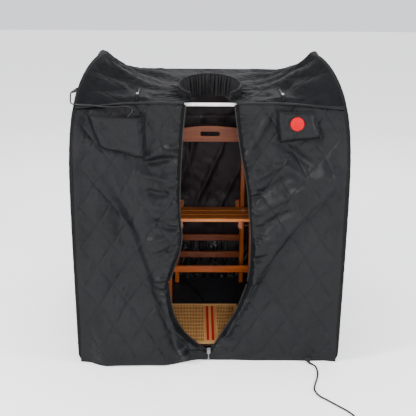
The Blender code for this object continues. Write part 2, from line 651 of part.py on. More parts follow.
# back slat with a plain hand-hold slot
bm = bmesh.new()
prof = [(-POST_IN + 0.0004, 0.6085), (POST_IN - 0.0004, 0.6085)]
for k in range(13):
    t = 1 - 2 * k / 12
    prof.append((t * (POST_IN - 0.0004), 0.660 + 0.012 * (1 - t * t)))
vs = [bm.verts.new((cx + x, POST_Y - 0.006, z)) for x, z in prof]
f = bm.faces.new(vs)
ext = bmesh.ops.extrude_face_region(bm, geom=[f])
for e in ext["geom"]:
    if isinstance(e, bmesh.types.BMVert):
        e.co.y += 0.012
slat = add("chair_back_slat", bm, m_wood("chair_back_slat"))
bm = bmesh.new()
arc = []
for k in range(17):
    t = -math.pi / 2 + math.pi * k / 16
    arc.append((0.0300 + 0.0090 * math.cos(t), 0.6400 + 0.0090 * math.sin(t)))
for k in range(17):
    t = math.pi / 2 + math.pi * k / 16
    arc.append((-0.0300 + 0.0090 * math.cos(t), 0.6400 + 0.0090 * math.sin(t)))
vs = [bm.verts.new((cx + x, POST_Y - 0.02, z)) for x, z in arc]
f = bm.faces.new(vs)
ext = bmesh.ops.extrude_face_region(bm, geom=[f])
for e in ext["geom"]:
    if isinstance(e, bmesh.types.BMVert):
        e.co.y += 0.04
hold = add("tool_handhold", bm, m_wood("tool_handhold"))
cut(slat, [hold])

for nm, z0, z1 in (("upper", 0.190, 0.2165), ("lower", 0.115, 0.1415)):
    box("chair_rear_rail_" + nm, (cx - POST_IN + 0.0004, POST_Y - 0.0065, z0), (cx + POST_IN - 0.0004, POST_Y + 0.0065, z1),
        m_wood("chair_rear_rail_" + nm), 0.002)

for s, nm in ((-1, "left"), (1, "right")):
    a, b = sorted((cx + s * RAIL_IN, cx + s * (RAIL_IN + RAIL_W)))
    hb, ht = SEAT_TOP - SLAT_T - RAIL_H, SEAT_TOP - SLAT_T - 0.0004
    loop = [(0.255, ht), (0.255, hb), (0.020, hb)]
    for k in range(9):
        t = math.radians(-75 - 165 * k / 8)
        loop.append((0.0125 * math.cos(t) * 1.0, 0.0125 * math.sin(t)))
    loop += [(0.0120, ht)]
    prof = [seat_pt(q, h) for q, h in loop]
    rail = prism_x("chair_seat_rail_" + nm, prof, a, b, m_wood("chair_seat_rail_" + nm))
    ly, lz = seat_pt(LEG_Q, LEG_H)
    cut(rail, [cyl_x("tool_rail_hole_" + nm, a - 0.01, b + 0.01, POST_Y, PIVOT_Z, HOLE_R),
               cyl_x("tool_rail_leghole_" + nm, a - 0.01, b + 0.01, ly, lz, HOLE_R)])

SW = (SEAT_Q1 - SEAT_Q0 - 2 * 0.006) / 3
for k, nm in enumerate(("rear", "middle", "front")):
    q0 = SEAT_Q0 + k * (SW + 0.006)
    q1 = q0 + SW
    prof = [seat_pt(q, h) for q, h in ((q0, SEAT_TOP - SLAT_T), (q1, SEAT_TOP - SLAT_T), (q1, SEAT_TOP), (q0, SEAT_TOP))]
    o = prism_x("chair_seat_slat_" + nm, prof, cx - 0.160, cx + 0.160, m_wood("chair_seat_slat_" + nm))
    md = o.modifiers.new("edge", "BEVEL")
    md.width = 0.002
    md.segments = 1

LY, LZ = seat_pt(LEG_Q, LEG_H)
for s, nm in ((-1, "left"), (1, "right")):
    a, b = sorted((cx + s * LEG_IN, cx + s * (LEG_IN + LEG_W)))
    leg = box("chair_leg_" + nm, (a, LY - LEG_D / 2, FT), (b, LY + LEG_D / 2, LZ + 0.0125), m_wood("chair_leg_" + nm), 0.0025)
    cut(leg, [cyl_x("tool_leg_hole_" + nm, a - 0.01, b + 0.01, LY, LZ, HOLE_R)])
box("chair_front_stretcher", (cx - LEG_IN + 0.0004, LY - LEG_D / 2, 0.150), (cx + LEG_IN - 0.0004, LY - LEG_D / 2 + 0.012, 0.176),
    m_wood("chair_front_stretcher"), 0.002)


def bolt(name, s, x0, x1, y, z, mat):
    """Pivot bolt along X: shank x0..x1, a domed head outside and a nut inside."""
    prof = [(0.0, x0 - 0.0040), (0.0050, x0 - 0.0040), (0.0050, x0 - 0.0004), (BOLT_R, x0 - 0.0004),
            (BOLT_R, x1 + 0.0004), (0.0062, x1 + 0.0004), (0.0050, x1 + 0.0032), (0.0, x1 + 0.0036)]
    bm = bmesh.new()
    n = 12
    rings = []
    for r, x in prof:
        if r == 0:
            rings.append([bm.verts.new((s * x, y, z))])
        else:
            rings.append([bm.verts.new((s * x, y + r * math.cos(2 * math.pi * k / n), z + r * math.sin(2 * math.pi * k / n))) for k in range(n)])
    for p, q in zip(rings[:-1], rings[1:]):
        for k in range(n):
            if len(p) == 1:
                bm.faces.new((p[0], q[k], q[(k + 1) % n]))
            elif len(q) == 1:
                bm.faces.new((p[k], q[0], p[(k + 1) % n]))
            else:
                bm.faces.new((p[k], q[k], q[(k + 1) % n], p[(k + 1) % n]))
    ob = add(name, bm, mat, smooth=40)
    ob.data.transform(Matrix.Translation((cx, 0, 0)))
    return ob


for s, nm in ((-1, "left"), (1, "right")):
    bolt("seat_pivot_bolt_" + nm, s, RAIL_IN, POST_IN + POST_W, POST_Y, PIVOT_Z, material("seat_pivot_bolt_" + nm, (0.6, 0.6, 0.6), 0.3, 1.0))
    bolt("leg_pivot_bolt_" + nm, s, RAIL_IN, LEG_IN + LEG_W, LY, LZ, material("leg_pivot_bolt_" + nm, (0.6, 0.6, 0.6), 0.3, 1.0))


# ------------------------------------------------------------------ pivots of the moving pieces
def pivot(name, pos):
    """Puts an object's origin on its joint's axis and leaves the piece where it is."""
    ob = bpy.data.objects[name]
    ob.data.transform(Matrix.Translation(-Vector(pos)))
    ob.location = pos


for s, nm in ((-1, "left"), (1, "right")):
    pivot("front_flap_" + nm, Vector(front_point(s * (fold_x(FLAP_Z0 + 0.006) - 0.0004), FLAP_Z0 + 0.006)))
    pivot("arm_zip_slider_" + nm, Vector((s * 0.235, -0.262, top_z(s * 0.235, -0.262))))
pivot("zip_pull", Vector((0.0, SL + 0.0002, 0.0410)))
for nm, dx, dz in (("button_power", 0.0, 0.012), ("button_minus", -0.0105, 0.034), ("button_plus", 0.0105, 0.034)):
    pivot(nm, Vector((HX + dx, HY - 0.0080, HZ0 + dz)))


def pivot_empty(name, pos, children, parent=None):
    """An empty on the joint's axis that carries the pieces of one moving body."""
    e = bpy.data.objects.new(name, None)
    bpy.context.scene.collection.objects.link(e)
    e.empty_display_size = 0.05
    e.location = pos
    if parent:
        e.parent = parent[0]
        e.matrix_parent_inverse = Matrix.Translation(-Vector(parent[1]))
    for c in children:
        ob = bpy.data.objects[c]
        ob.parent = e
        ob.matrix_parent_inverse = Matrix.Translation(-Vector(pos))
    return e


seat_at = (CHAIR_X, POST_Y, PIVOT_Z)
legs_at = (CHAIR_X, LY, LZ)
seat_pivot = pivot_empty("seat_pivot", seat_at,
                         ["chair_seat_rail_left", "chair_seat_rail_right", "chair_seat_slat_front", "chair_seat_slat_middle",
                          "chair_seat_slat_rear", "leg_pivot_bolt_left", "leg_pivot_bolt_right"])
pivot_empty("legs_pivot", legs_at, ["chair_leg_left", "chair_leg_right", "chair_front_stretcher"], (seat_pivot, seat_at))
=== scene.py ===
import bpy
import math
import numpy as np
from mathutils import Matrix, Vector


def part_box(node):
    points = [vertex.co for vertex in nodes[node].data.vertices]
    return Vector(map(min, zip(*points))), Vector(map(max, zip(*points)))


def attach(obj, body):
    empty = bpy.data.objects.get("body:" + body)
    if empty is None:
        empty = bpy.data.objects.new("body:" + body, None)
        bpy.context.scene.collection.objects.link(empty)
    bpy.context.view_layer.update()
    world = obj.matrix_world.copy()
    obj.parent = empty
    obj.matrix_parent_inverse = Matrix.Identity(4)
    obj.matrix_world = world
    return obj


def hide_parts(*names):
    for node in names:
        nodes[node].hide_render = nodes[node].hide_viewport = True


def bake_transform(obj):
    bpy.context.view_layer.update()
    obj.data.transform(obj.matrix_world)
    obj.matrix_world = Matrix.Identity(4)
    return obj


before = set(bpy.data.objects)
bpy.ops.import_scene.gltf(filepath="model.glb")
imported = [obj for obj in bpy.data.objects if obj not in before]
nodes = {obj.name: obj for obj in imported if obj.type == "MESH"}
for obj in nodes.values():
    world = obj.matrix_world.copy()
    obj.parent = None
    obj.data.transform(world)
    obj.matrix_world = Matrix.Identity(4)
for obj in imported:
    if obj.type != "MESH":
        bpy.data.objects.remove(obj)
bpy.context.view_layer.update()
scene = bpy.context.scene
rng = np.random.RandomState(7)

# ------------------------------------------------------------------ numbers shared with the model
HOOP_R, HOOP_Y, HOOP_X, HOOP_TOP = 0.008, 0.374, 0.442, 0.995
FRONT_Y0, FRONT_Y1, RIDGE_F, RIDGE_R, REAR_Y = 0.368, 0.312, 0.884, 0.897, 0.290
FLAP_Z0, FOLD_LO, FOLD_HI = 0.272, 0.142, 0.205
NECK_CY, NECK_A, NECK_B = -0.165, 0.103, 0.135
COIL = (0.5036, -0.8354)
CORD_D, CTRL_D, MATL_D = 0.006, 0.005, 0.006


def catmull(pts, n, closed=False):
    P = [np.array(p, float) for p in pts]
    if not closed:
        P = [2 * P[0] - P[1]] + P + [2 * P[-1] - P[-2]]
        spans = range(1, len(P) - 2)
    else:
        spans = range(len(P))
    out = []
    for i in spans:
        if closed:
            a, b, c, d = (P[(i + k - 1) % len(P)] for k in range(4))
        else:
            a, b, c, d = P[i - 1], P[i], P[i + 1], P[i + 2]
        for k in range(n):
            t = k / n
            out.append(0.5 * ((2 * b) + (c - a) * t + (2 * a - 5 * b + 4 * c - d) * t * t
                              + (3 * b - a - 3 * c + d) * t ** 3))
    if not closed:
        out.append(P[-2])
    return np.array(out)


def resample(curve, n):
    seg = np.linalg.norm(np.diff(curve, axis=0), axis=1)
    s = np.concatenate([[0], np.cumsum(seg)])
    q = np.linspace(0, s[-1], n)
    return np.stack([np.interp(q, s, curve[:, k]) for k in range(curve.shape[1])], axis=1), s[-1]


def ss(a, b, x):
    t = np.clip((x - a) / (b - a), 0, 1)
    return t * t * (3 - 2 * t)


HOOP_PTS = [(0.4360, 0.000, 0.0090), (0.4360, -0.170, 0.0090), (0.4360, -0.335, 0.0090),
            (0.4362, -0.364, 0.0180), (0.4365, -HOOP_Y, 0.048), (0.4385, -HOOP_Y, 0.200),
            (0.4410, -HOOP_Y, 0.400), (HOOP_X, -0.3738, 0.580), (0.4415, -0.3660, 0.700),
            (0.4370, -0.3450, 0.800), (0.4290, -0.3100, 0.869), (0.4180, -0.2550, 0.921),
            (0.4020, -0.1700, 0.962), (0.3800, -0.0800, 0.987), (0.3560, 0.000, HOOP_TOP)]
_fr = catmull(HOOP_PTS, 12)
_fr[-1, 1] = 0.0
HOOP_F, _ = resample(_fr, 400)


def hoop_loop(side, n):
    rear = HOOP_F[::-1].copy()
    rear[:, 1] *= -1
    loop = np.concatenate([HOOP_F[:-1], rear[:-1]])
    loop = np.concatenate([loop, loop[:1]])
    pts, _ = resample(loop, n + 1)
    pts = pts[:-1]
    pts[:, 0] *= side
    return pts


_sel = HOOP_F[(HOOP_F[:, 2] >= 0.049) & (HOOP_F[:, 1] < -0.001)]
_top = HOOP_F[HOOP_F[:, 2] > 0.60][::-1]


def hx(z):
    return np.where(z < 0.05, 0.4365, np.interp(z, _sel[:, 2], _sel[:, 0]))


def hy(z):
    return np.where(z < 0.05, HOOP_Y, np.interp(z, _sel[:, 2], -_sel[:, 1]))


def hxy(y):
    a = np.minimum(np.abs(y), 0.373)
    return np.interp(a, -_top[:, 1], _top[:, 0]), np.interp(a, -_top[:, 1], _top[:, 2])


def top_z(x, y):
    xh, zh = hxy(y)
    t = np.clip((y + FRONT_Y1) / (REAR_Y + FRONT_Y1), 0, 1)
    zc = RIDGE_F + (RIDGE_R - RIDGE_F) * t
    k = np.abs(x) / xh
    g = np.clip((k - 0.42) / 0.58, 0, None) ** 1.6
    return zc + (zh - zc) * np.minimum(g, 1.0)


def front_y(x, z):
    flat = -(FRONT_Y0 + (FRONT_Y1 - FRONT_Y0) * np.minimum(z / 0.88, 1.02))
    w = ss(0, 1, (np.abs(x) - 0.25) / 0.19)
    return flat * (1 - w) - hy(z) * w


ZIP = {-1: [(0.030, 0.0006), (0.060, 0.040), (0.100, 0.080), (0.150, 0.112), (0.200, 0.128), (0.272, 0.137),
            (0.320, 0.124), (0.380, 0.104), (0.440, 0.094), (0.520, 0.100), (0.620, 0.100), (0.720, 0.095),
            (0.800, 0.090), (0.880, 0.082)],
       1: [(0.030, 0.0006), (0.060, 0.024), (0.100, 0.048), (0.150, 0.078), (0.200, 0.103), (0.272, 0.128),
           (0.320, 0.137), (0.380, 0.140), (0.440, 0.140), (0.520, 0.134), (0.620, 0.124), (0.720, 0.104),
           (0.800, 0.092), (0.880, 0.082)]}
_zipc = {s: catmull(ZIP[s], 12) for s in ZIP}


def zip_x(side, z):
    c = _zipc[side]
    return np.where(z <= 0.030, 0.0006, np.interp(z, c[:, 0], c[:, 1]))


def fold_x(z):
    return FOLD_LO + (FOLD_HI - FOLD_LO) * (z - FLAP_Z0) / (0.880 - FLAP_Z0)


def front_point(x, z):
    zt = top_z(x, -FRONT_Y1) - 0.0065
    zz = 0.0006 + (zt - 0.0006) * (z / 0.880)
    return np.stack([x, front_y(x, zz), zz], axis=-1)


# ------------------------------------------------------------------ camera, from the photograph's viewing angle
AZ, ROLL = math.radians(0.9), math.radians(0.45)
CAM_R, CAM_H, CAM_PITCH = 2.977, 1.394, math.radians(17.94)
cam_data = bpy.data.cameras.new("camera")
cam_data.lens = 73.3
cam_data.sensor_width = 36.0
cam = bpy.data.objects.new("camera", cam_data)
scene.collection.objects.link(cam)
cam_pos = Vector((-CAM_R * math.sin(AZ), -CAM_R * math.cos(AZ), CAM_H))
look = Matrix.Rotation(-AZ, 4, "Z") @ Matrix.Rotation(math.pi / 2 - CAM_PITCH, 4, "X") @ Matrix.Rotation(ROLL, 4, "Z")
cam.matrix_world = Matrix.Translation(cam_pos) @ look
cam_data.clip_start = 0.05
cam_data.clip_end = 60
scene.camera = cam


# ------------------------------------------------------------------ material helpers
def new_mat(name, rough=0.5, metal=0.0, **sockets):
    m = bpy.data.materials.new(name)
    m.use_nodes = True
    b = m.node_tree.nodes["Principled BSDF"]
    b.inputs["Roughness"].default_value = rough
    b.inputs["Metallic"].default_value = metal
    for k, v in sockets.items():
        b.inputs[k.replace("_", " ")].default_value = v
    return m, m.node_tree, b


def coords(nt, scale, rot=(0, 0, 0)):
    tc = nt.nodes.new("ShaderNodeTexCoord")
    mp = nt.nodes.new("ShaderNodeMapping")
    mp.inputs["Scale"].default_value = scale
    mp.inputs["Rotation"].default_value = rot
    nt.links.new(tc.outputs["Object"], mp.inputs["Vector"])
    return mp.outputs["Vector"]


def noise(nt, vec, scale, detail=3.0, rough=0.55, dist=0.0):
    n = nt.nodes.new("ShaderNodeTexNoise")
    n.inputs["Scale"].default_value = scale
    n.inputs["Detail"].default_value = detail
    n.inputs["Roughness"].default_value = rough
    n.inputs["Distortion"].default_value = dist
    nt.links.new(vec, n.inputs["Vector"])
    return n.outputs["Fac"]


def wave(nt, vec, scale, axis="X", dist=0.0, dscale=1.0, detail=0.0, profile="SIN"):
    w = nt.nodes.new("ShaderNodeTexWave")
    w.wave_type = "BANDS"
    w.bands_direction = axis
    w.wave_profile = profile
    w.inputs["Scale"].default_value = scale
    w.inputs["Distortion"].default_value = dist
    w.inputs["Detail Scale"].default_value = dscale
    w.inputs["Detail"].default_value = detail
    nt.links.new(vec, w.inputs["Vector"])
    return w.outputs["Fac"]


def ramp(nt, fac, stops):
    r = nt.nodes.new("ShaderNodeValToRGB")
    e = r.color_ramp.elements
    e[0].position, e[0].color = stops[0][0], (*stops[0][1], 1)
    e[1].position, e[1].color = stops[-1][0], (*stops[-1][1], 1)
    for p, c in stops[1:-1]:
        k = e.new(p)
        k.color = (*c, 1)
    nt.links.new(fac, r.inputs["Fac"])
    return r.outputs["Color"]


def math_node(nt, op, a, b=None):
    n = nt.nodes.new("ShaderNodeMath")
    n.operation = op
    for i, v in enumerate((a, b)):
        if v is None:
            continue
        if isinstance(v, (int, float)):
            n.inputs[i].default_value = v
        else:
            nt.links.new(v, n.inputs[i])
    return n.outputs[0]


def bump(nt, height, strength, dist, normal=None):
    b = nt.nodes.new("ShaderNodeBump")
    b.inputs["Strength"].default_value = strength
    b.inputs["Distance"].default_value = dist
    nt.links.new(height, b.inputs["Height"])
    if normal is not None:
        nt.links.new(normal, b.inputs["Normal"])
    return b.outputs["Normal"]


def rough_range(nt, b, fac, lo, hi):
    m = nt.nodes.new("ShaderNodeMapRange")
    m.inputs["To Min"].default_value = lo
    m.inputs["To Max"].default_value = hi
    nt.links.new(fac, m.inputs["Value"])
    nt.links.new(m.outputs["Result"], b.inputs["Roughness"])


def fabric(name, dark, light, rlo, rhi, sheen=0.02, weave=0.35, crumple=0.35, cs=22.0, wscale=260.0, spec=0.22):
    """Woven cloth: two crossed thread waves, fine crumple, colour and gloss variation."""
    m, nt, b = new_mat(name)
    v = coords(nt, (1, 1, 1))
    big = noise(nt, v, 5.0, 4.0, 0.6)
    mid = noise(nt, v, cs, 6.0, 0.62, 0.6)
    col = ramp(nt, math_node(nt, "MULTIPLY", math_node(nt, "ADD", big, mid), 0.5), [(0.35, dark), (0.65, light)])
    nt.links.new(col, b.inputs["Base Color"])
    rough_range(nt, b, mid, rlo, rhi)
    wx = wave(nt, v, wscale, "DIAGONAL")
    wz = wave(nt, v, wscale, "Z")
    wv = math_node(nt, "MULTIPLY", wx, wz)
    n1 = bump(nt, mid, crumple, 0.004)
    n2 = bump(nt, wv, weave, 0.0004, n1)
    nt.links.new(n2, b.inputs["Normal"])
    b.inputs["Sheen Weight"].default_value = sheen
    b.inputs["Sheen Roughness"].default_value = 0.45
    b.inputs["Sheen Tint"].default_value = (0.72, 0.76, 0.9, 1)
    b.inputs["Specular IOR Level"].default_value = spec
    return m


def wood(name, axis, a, mid, c, rough=0.30, coat=0.35, scale=1.0):
    """Varnished timber with grain along one axis."""
    m, nt, b = new_mat(name)
    s = {"X": (2.2, 34, 34), "Y": (34, 2.2, 34), "Z": (34, 34, 2.2)}[axis]
    v = coords(nt, tuple(k * scale for k in s))
    g = noise(nt, v, 1.3, 8.0, 0.62, 1.6)
    f = noise(nt, coords(nt, tuple(k * 5 * scale for k in s)), 2.0, 3.0, 0.7)
    mix = math_node(nt, "ADD", math_node(nt, "MULTIPLY", g, 0.75), math_node(nt, "MULTIPLY", f, 0.25))
    nt.links.new(ramp(nt, mix, [(0.30, a), (0.50, mid), (0.72, c)]), b.inputs["Base Color"])
    rough_range(nt, b, f, rough - 0.06, rough + 0.12)
    nt.links.new(bump(nt, mix, 0.25, 0.0012), b.inputs["Normal"])
    b.inputs["Coat Weight"].default_value = coat
    b.inputs["Coat Roughness"].default_value = 0.18
    return m


def rubber(name, dark, light, rough=0.45, grain=900.0, strength=0.15):
    m, nt, b = new_mat(name, Specular_IOR_Level=0.28)
    v = coords(nt, (1, 1, 1))
    n = noise(nt, v, grain, 2.0)
    w = noise(nt, v, 30.0, 4.0)
    nt.links.new(ramp(nt, w, [(0.35, dark), (0.7, light)]), b.inputs["Base Color"])
    rough_range(nt, b, w, rough - 0.07, rough + 0.1)
    nt.links.new(bump(nt, n, strength, 0.0004), b.inputs["Normal"])
    return m


def metal(name, dark, light, rough=0.3):
    m, nt, b = new_mat(name, metal=1.0)
    v = coords(nt, (1, 1, 1))
    n = noise(nt, v, 420.0, 3.0)
    w = noise(nt, v, 60.0, 3.0)
    nt.links.new(ramp(nt, w, [(0.3, dark), (0.7, light)]), b.inputs["Base Color"])
    rough_range(nt, b, n, rough - 0.08, rough + 0.14)
    nt.links.new(bump(nt, n, 0.1, 0.0003), b.inputs["Normal"])
    return m


M_QUILT = fabric("quilted_nylon", (0.0024, 0.0026, 0.0034), (0.0054, 0.0058, 0.0072), 0.36, 0.54, sheen=0.0, crumple=0.75, cs=26.0, spec=0.17)
M_TOP = fabric("plain_nylon", (0.0032, 0.0033, 0.0040), (0.0066, 0.0068, 0.0078), 0.60, 0.74, sheen=0.0, crumple=0.5, cs=18.0, spec=0.05)
M_LINING = fabric("plum_lining", (0.0050, 0.0022, 0.0038), (0.0150, 0.0066, 0.0115), 0.36, 0.55, sheen=0.03, crumple=0.7, cs=16.0, spec=0.25)
M_SKIRT = fabric("glossy_lining", (0.003, 0.0022, 0.003), (0.008, 0.006, 0.0075), 0.20, 0.38, sheen=0.0, crumple=0.9, cs=30.0, spec=0.5)
M_FLOOR = fabric("ground_cloth", (0.010, 0.010, 0.013), (0.022, 0.023, 0.029), 0.50, 0.66, sheen=0.02, crumple=0.5, cs=14.0, spec=0.2)
M_BIND = fabric("binding_tape", (0.0022, 0.0022, 0.0024), (0.0050, 0.0050, 0.0055), 0.60, 0.80, sheen=0.01, weave=0.6, wscale=420.0, spec=0.15)
M_COLLAR = fabric("collar_knit", (0.0036, 0.0035, 0.0040), (0.0085, 0.0082, 0.0092), 0.50, 0.68, sheen=0.02, weave=0.6, wscale=340.0, spec=0.15)
M_TAPE = fabric("zip_tape", (0.0028, 0.0028, 0.0030), (0.0060, 0.0060, 0.0065), 0.65, 0.85, sheen=0.0, weave=0.8, wscale=500.0, spec=0.06)
M_BADGE = fabric("red_patch", (0.40, 0.0003, 0.006), (0.58, 0.0006, 0.010), 0.6, 0.8, sheen=0.0, weave=0.8, wscale=420.0, crumple=0.1, spec=0.05)
M_TIE = fabric("hook_tape", (0.006, 0.006, 0.006), (0.014, 0.014, 0.014), 0.7, 0.9, sheen=0.02, weave=0.9, wscale=300.0, spec=0.1)
W_A, W_B, W_C = (0.22, 0.036, 0.004), (0.42, 0.088, 0.009), (0.58, 0.150, 0.018)
M_WOOD = {k: wood("varnished_wood_" + k.lower(), k, W_A, W_B, W_C) for k in "XYZ"}
# painted shade: the back slat uses a darker, duller copy of the chair's wood, for the shade under the roof
M_WOOD_SLAT_SHADED = wood("varnished_wood_slat_painted_shade", "X", (0.13, 0.018, 0.0015), (0.26, 0.048, 0.004), (0.38, 0.090, 0.009), rough=0.46, coat=0.05)
# painted shade: the rear rails use a much darker copy of the chair's wood, for the shadow under the seat
M_WOOD_RAIL_SHADED = wood("varnished_wood_rail_painted_shade", "X", (0.085, 0.014, 0.004), (0.16, 0.032, 0.008), (0.24, 0.060, 0.014))
# painted light: the seat slats use a much lighter copy of the chair's wood, for the light falling on the seat from the
# front
M_WOOD_SEAT_LIT = wood("varnished_wood_seat_painted_light", "X", (0.52, 0.105, 0.012), (0.78, 0.215, 0.026), (0.92, 0.34, 0.050), rough=0.36, coat=0.15)
M_BAMBOO = wood("bamboo_strips", "Y", (0.56, 0.24, 0.065), (0.76, 0.39, 0.125), (0.88, 0.53, 0.20), rough=0.42, coat=0.12, scale=1.6)
M_BAMBOO_X = wood("bamboo_border", "X", (0.62, 0.30, 0.10), (0.80, 0.46, 0.18), (0.90, 0.60, 0.28), rough=0.42, coat=0.12, scale=1.6)
# painted shade: a near-black copy of the bamboo for the slot walls, slot bottoms and the core under the slats,
# standing for the shade down the slots
M_BAMBOO_SLOT_SHADE = wood("bamboo_slot_painted_shade", "Y", (0.030, 0.010, 0.003), (0.060, 0.022, 0.007), (0.10, 0.040, 0.012), rough=0.7, coat=0.0)
M_RED = rubber("red_band", (0.46, 0.004, 0.010), (0.62, 0.010, 0.018), 0.5)
M_RUBBER = rubber("soft_black", (0.008, 0.008, 0.009), (0.017, 0.017, 0.018), 0.46)
M_CORD = rubber("cord_jacket", (0.0035, 0.0035, 0.0040), (0.0070, 0.0070, 0.0075), 0.42, 500.0, 0.05)
M_CASE = rubber("handset_case", (0.012, 0.012, 0.013), (0.022, 0.022, 0.024), 0.42, 1400.0, 0.3)
M_KEY = rubber("silicone_keys", (0.16, 0.16, 0.17), (0.24, 0.24, 0.25), 0.55)
M_METAL = metal("nickel_zip", (0.13, 0.13, 0.135), (0.26, 0.26, 0.27), 0.34)
M_TOOTH = rubber("zip_teeth", (0.006, 0.006, 0.0065), (0.014, 0.014, 0.015), 0.42)
M_BOLT = metal("bronzed_bolt", (0.085, 0.050, 0.030), (0.16, 0.095, 0.055), 0.40)
M_PRONG = metal("plated_prong", (0.50, 0.50, 0.49), (0.68, 0.68, 0.66), 0.30)
M_ROD, _nt, _b = new_mat("white_rod", 0.32)
_v = coords(_nt, (1, 1, 1))
_n = noise(_nt, _v, 40.0, 4.0)
_nt.links.new(ramp(_nt, _n, [(0.3, (0.66, 0.65, 0.62)), (0.7, (0.80, 0.79, 0.77))]), _b.inputs["Base Color"])
_nt.links.new(bump(_nt, noise(_nt, _v, 700.0), 0.08, 0.0003), _b.inputs["Normal"])
rough_range(_nt, _b, _n, 0.28, 0.42)
M_GLASS, _nt, _b = new_mat("display_window", 0.08, Coat_Weight=0.6)
_v = coords(_nt, (1, 1, 1))
_nt.links.new(ramp(_nt, noise(_nt, _v, 24.0), [(0.3, (0.010, 0.014, 0.016)), (0.7, (0.024, 0.030, 0.034))]), _b.inputs["Base Color"])
rough_range(_nt, _b, noise(_nt, _v, 300.0), 0.06, 0.14)


# ------------------------------------------------------------------ mesh helpers
def finish_mesh(name, verts, faces, mats, idx=None, sharp=55):
    me = bpy.data.meshes.new(name)
    me.from_pydata([tuple(v) for v in verts], [], faces)
    for m in mats:
        me.materials.append(m)
    if idx is not None:
        me.polygons.foreach_set("material_index", np.array(idx, np.int32))
    me.shade_smooth()
    if sharp:
        me.set_sharp_from_angle(angle=math.radians(sharp))
    me.update()
    ob = bpy.data.objects.new(name, me)
    scene.collection.objects.link(ob)
    return ob


def grid_normals(G, ref):
    du = np.gradient(G, axis=1)
    dv = np.gradient(G, axis=0)
    N = np.cross(du, dv)
    N /= np.maximum(np.linalg.norm(N, axis=2, keepdims=True), 1e-12)
    R = ref(G) if callable(ref) else np.broadcast_to(np.array(ref, float), G.shape)
    return N * np.sign((N * R).sum(axis=2, keepdims=True) + 1e-12)


def quads(a, b, c, d):
    return np.stack([a, b, c, d], axis=-1).reshape(-1, 4)


def sheet(name, G, out, thick=0.003, mats=None, inner=None, disp=None, rim=None, ring=False):
    """Closed cloth sheet. G is the rest outer surface, out its outward side, disp the relief added along the normal.
    inner is the relief of the inner face, thick its distance. ring closes the sheet in u."""
    mats = mats or [M_QUILT, M_LINING, M_BIND]
    N = grid_normals(G, out)
    A = G + N * (disp[..., None] if disp is not None else 0.0)
    B = (inner if inner is not None else A) - N * thick
    nv, nu = G.shape[:2]
    I = np.arange(nv * nu).reshape(nv, nu)
    J = I + nv * nu
    un = nu if ring else nu - 1
    c = np.arange(un)
    c1 = (c + 1) % nu
    r = np.arange(nv - 1)
    f1 = quads(I[r][:, c], I[r][:, c1], I[r + 1][:, c1], I[r + 1][:, c])
    f2 = quads(J[r][:, c], J[r + 1][:, c], J[r + 1][:, c1], J[r][:, c1])
    # turn the faces so that they point out
    p = A.reshape(-1, 3)
    q = f1[len(f1) // 2 + un // 2 if len(f1) > un else 0]
    nn = np.cross(p[q[1]] - p[q[0]], p[q[3]] - p[q[0]])
    if (nn * N.reshape(-1, 3)[q[0]]).sum() < 0:
        f1 = f1[:, ::-1]
        f2 = f2[:, ::-1]
        e = -1
    else:
        e = 1
    rims = [quads(I[0][c], J[0][c], J[0][c1], I[0][c1]), quads(I[-1][c], I[-1][c1], J[-1][c1], J[-1][c])]
    if not ring:
        rims += [quads(I[r, 0], I[r + 1, 0], J[r + 1, 0], J[r, 0]), quads(I[r, -1], J[r, -1], J[r + 1, -1], I[r + 1, -1])]
    f3 = np.concatenate(rims)
    if e < 0:
        f3 = f3[:, ::-1]
    faces = np.concatenate([f1, f2, f3])
    idx = np.concatenate([np.zeros(len(f1), int), np.full(len(f2), 1), np.full(len(f3), 2)])
    ob = finish_mesh(name, np.concatenate([p, B.reshape(-1, 3)]), faces.tolist(), mats, idx)
    return ob, A, B, N


def wobble(x, y, seed, waves=9, lo=4.0, hi=22.0):
    """Smooth repeatable noise, about -1..1."""
    r = np.random.RandomState(seed)
    out = np.zeros_like(x)
    tot = 0.0
    for _ in range(waves):
        f = lo * (hi / lo) ** r.rand()
        a = r.rand() * 2 * math.pi
        ph = r.rand() * 2 * math.pi
        w = (lo / f) ** 0.8
        out += w * np.sin(f * (x * math.cos(a) + y * math.sin(a)) * 2 * math.pi + ph)
        tot += w * w
    return out / math.sqrt(tot)


def quilt(x, z, wx=0.098, wz=0.142, h=0.0042, phase=(0.0, 0.0)):
    """Diamond quilting: stitched grooves between soft cushions."""
    a = x / wx + z / wz + phase[0]
    b = x / wx - z / wz + phase[1]
    fa = np.abs(np.sin(np.pi * a))
    fb = np.abs(np.sin(np.pi * b))
    puff = (fa * fb) ** 0.45
    groove = np.exp(-(fa / 0.055) ** 2) + np.exp(-(fb / 0.055) ** 2)
    return h * (puff - 0.75) - 0.0014 * np.minimum(groove, 1.0)


def seg_dist(x, z, p, q):
    """Distance to a segment, the place along it, and the signed side."""
    p, q = np.array(p), np.array(q)
    d = q - p
    L = np.linalg.norm(d)
    t = ((x - p[0]) * d[0] + (z - p[1]) * d[1]) / (L * L)
    tc = np.clip(t, 0, 1)
    cx, cz = p[0] + tc * d[0], p[1] + tc * d[1]
    s = ((x - p[0]) * d[1] - (z - p[1]) * d[0]) / L
    return np.hypot(x - cx, z - cz), t, s


def wrinkle(x, z, p, q, w, h):
    """A long soft wrinkle that dies away at both ends."""
    d, t, s = seg_dist(x, z, p, q)
    return h * np.exp(-(s / w) ** 2) * ss(-0.15, 0.30, t) * ss(1.15, 0.70, t)


def poly_dist(x, z, pts):
    """Signed distance to a polyline (positive to its right) and place along it."""
    best = np.full(x.shape, 9.0)
    sign = np.zeros(x.shape)
    place = np.zeros(x.shape)
    n = len(pts) - 1
    for k in range(n):
        d, t, s = seg_dist(x, z, pts[k], pts[k + 1])
        m = d < best
        best = np.where(m, d, best)
        sign = np.where(m, np.sign(s), sign)
        place = np.where(m, (k + np.clip(t, 0, 1)) / n, place)
    return best * sign, place


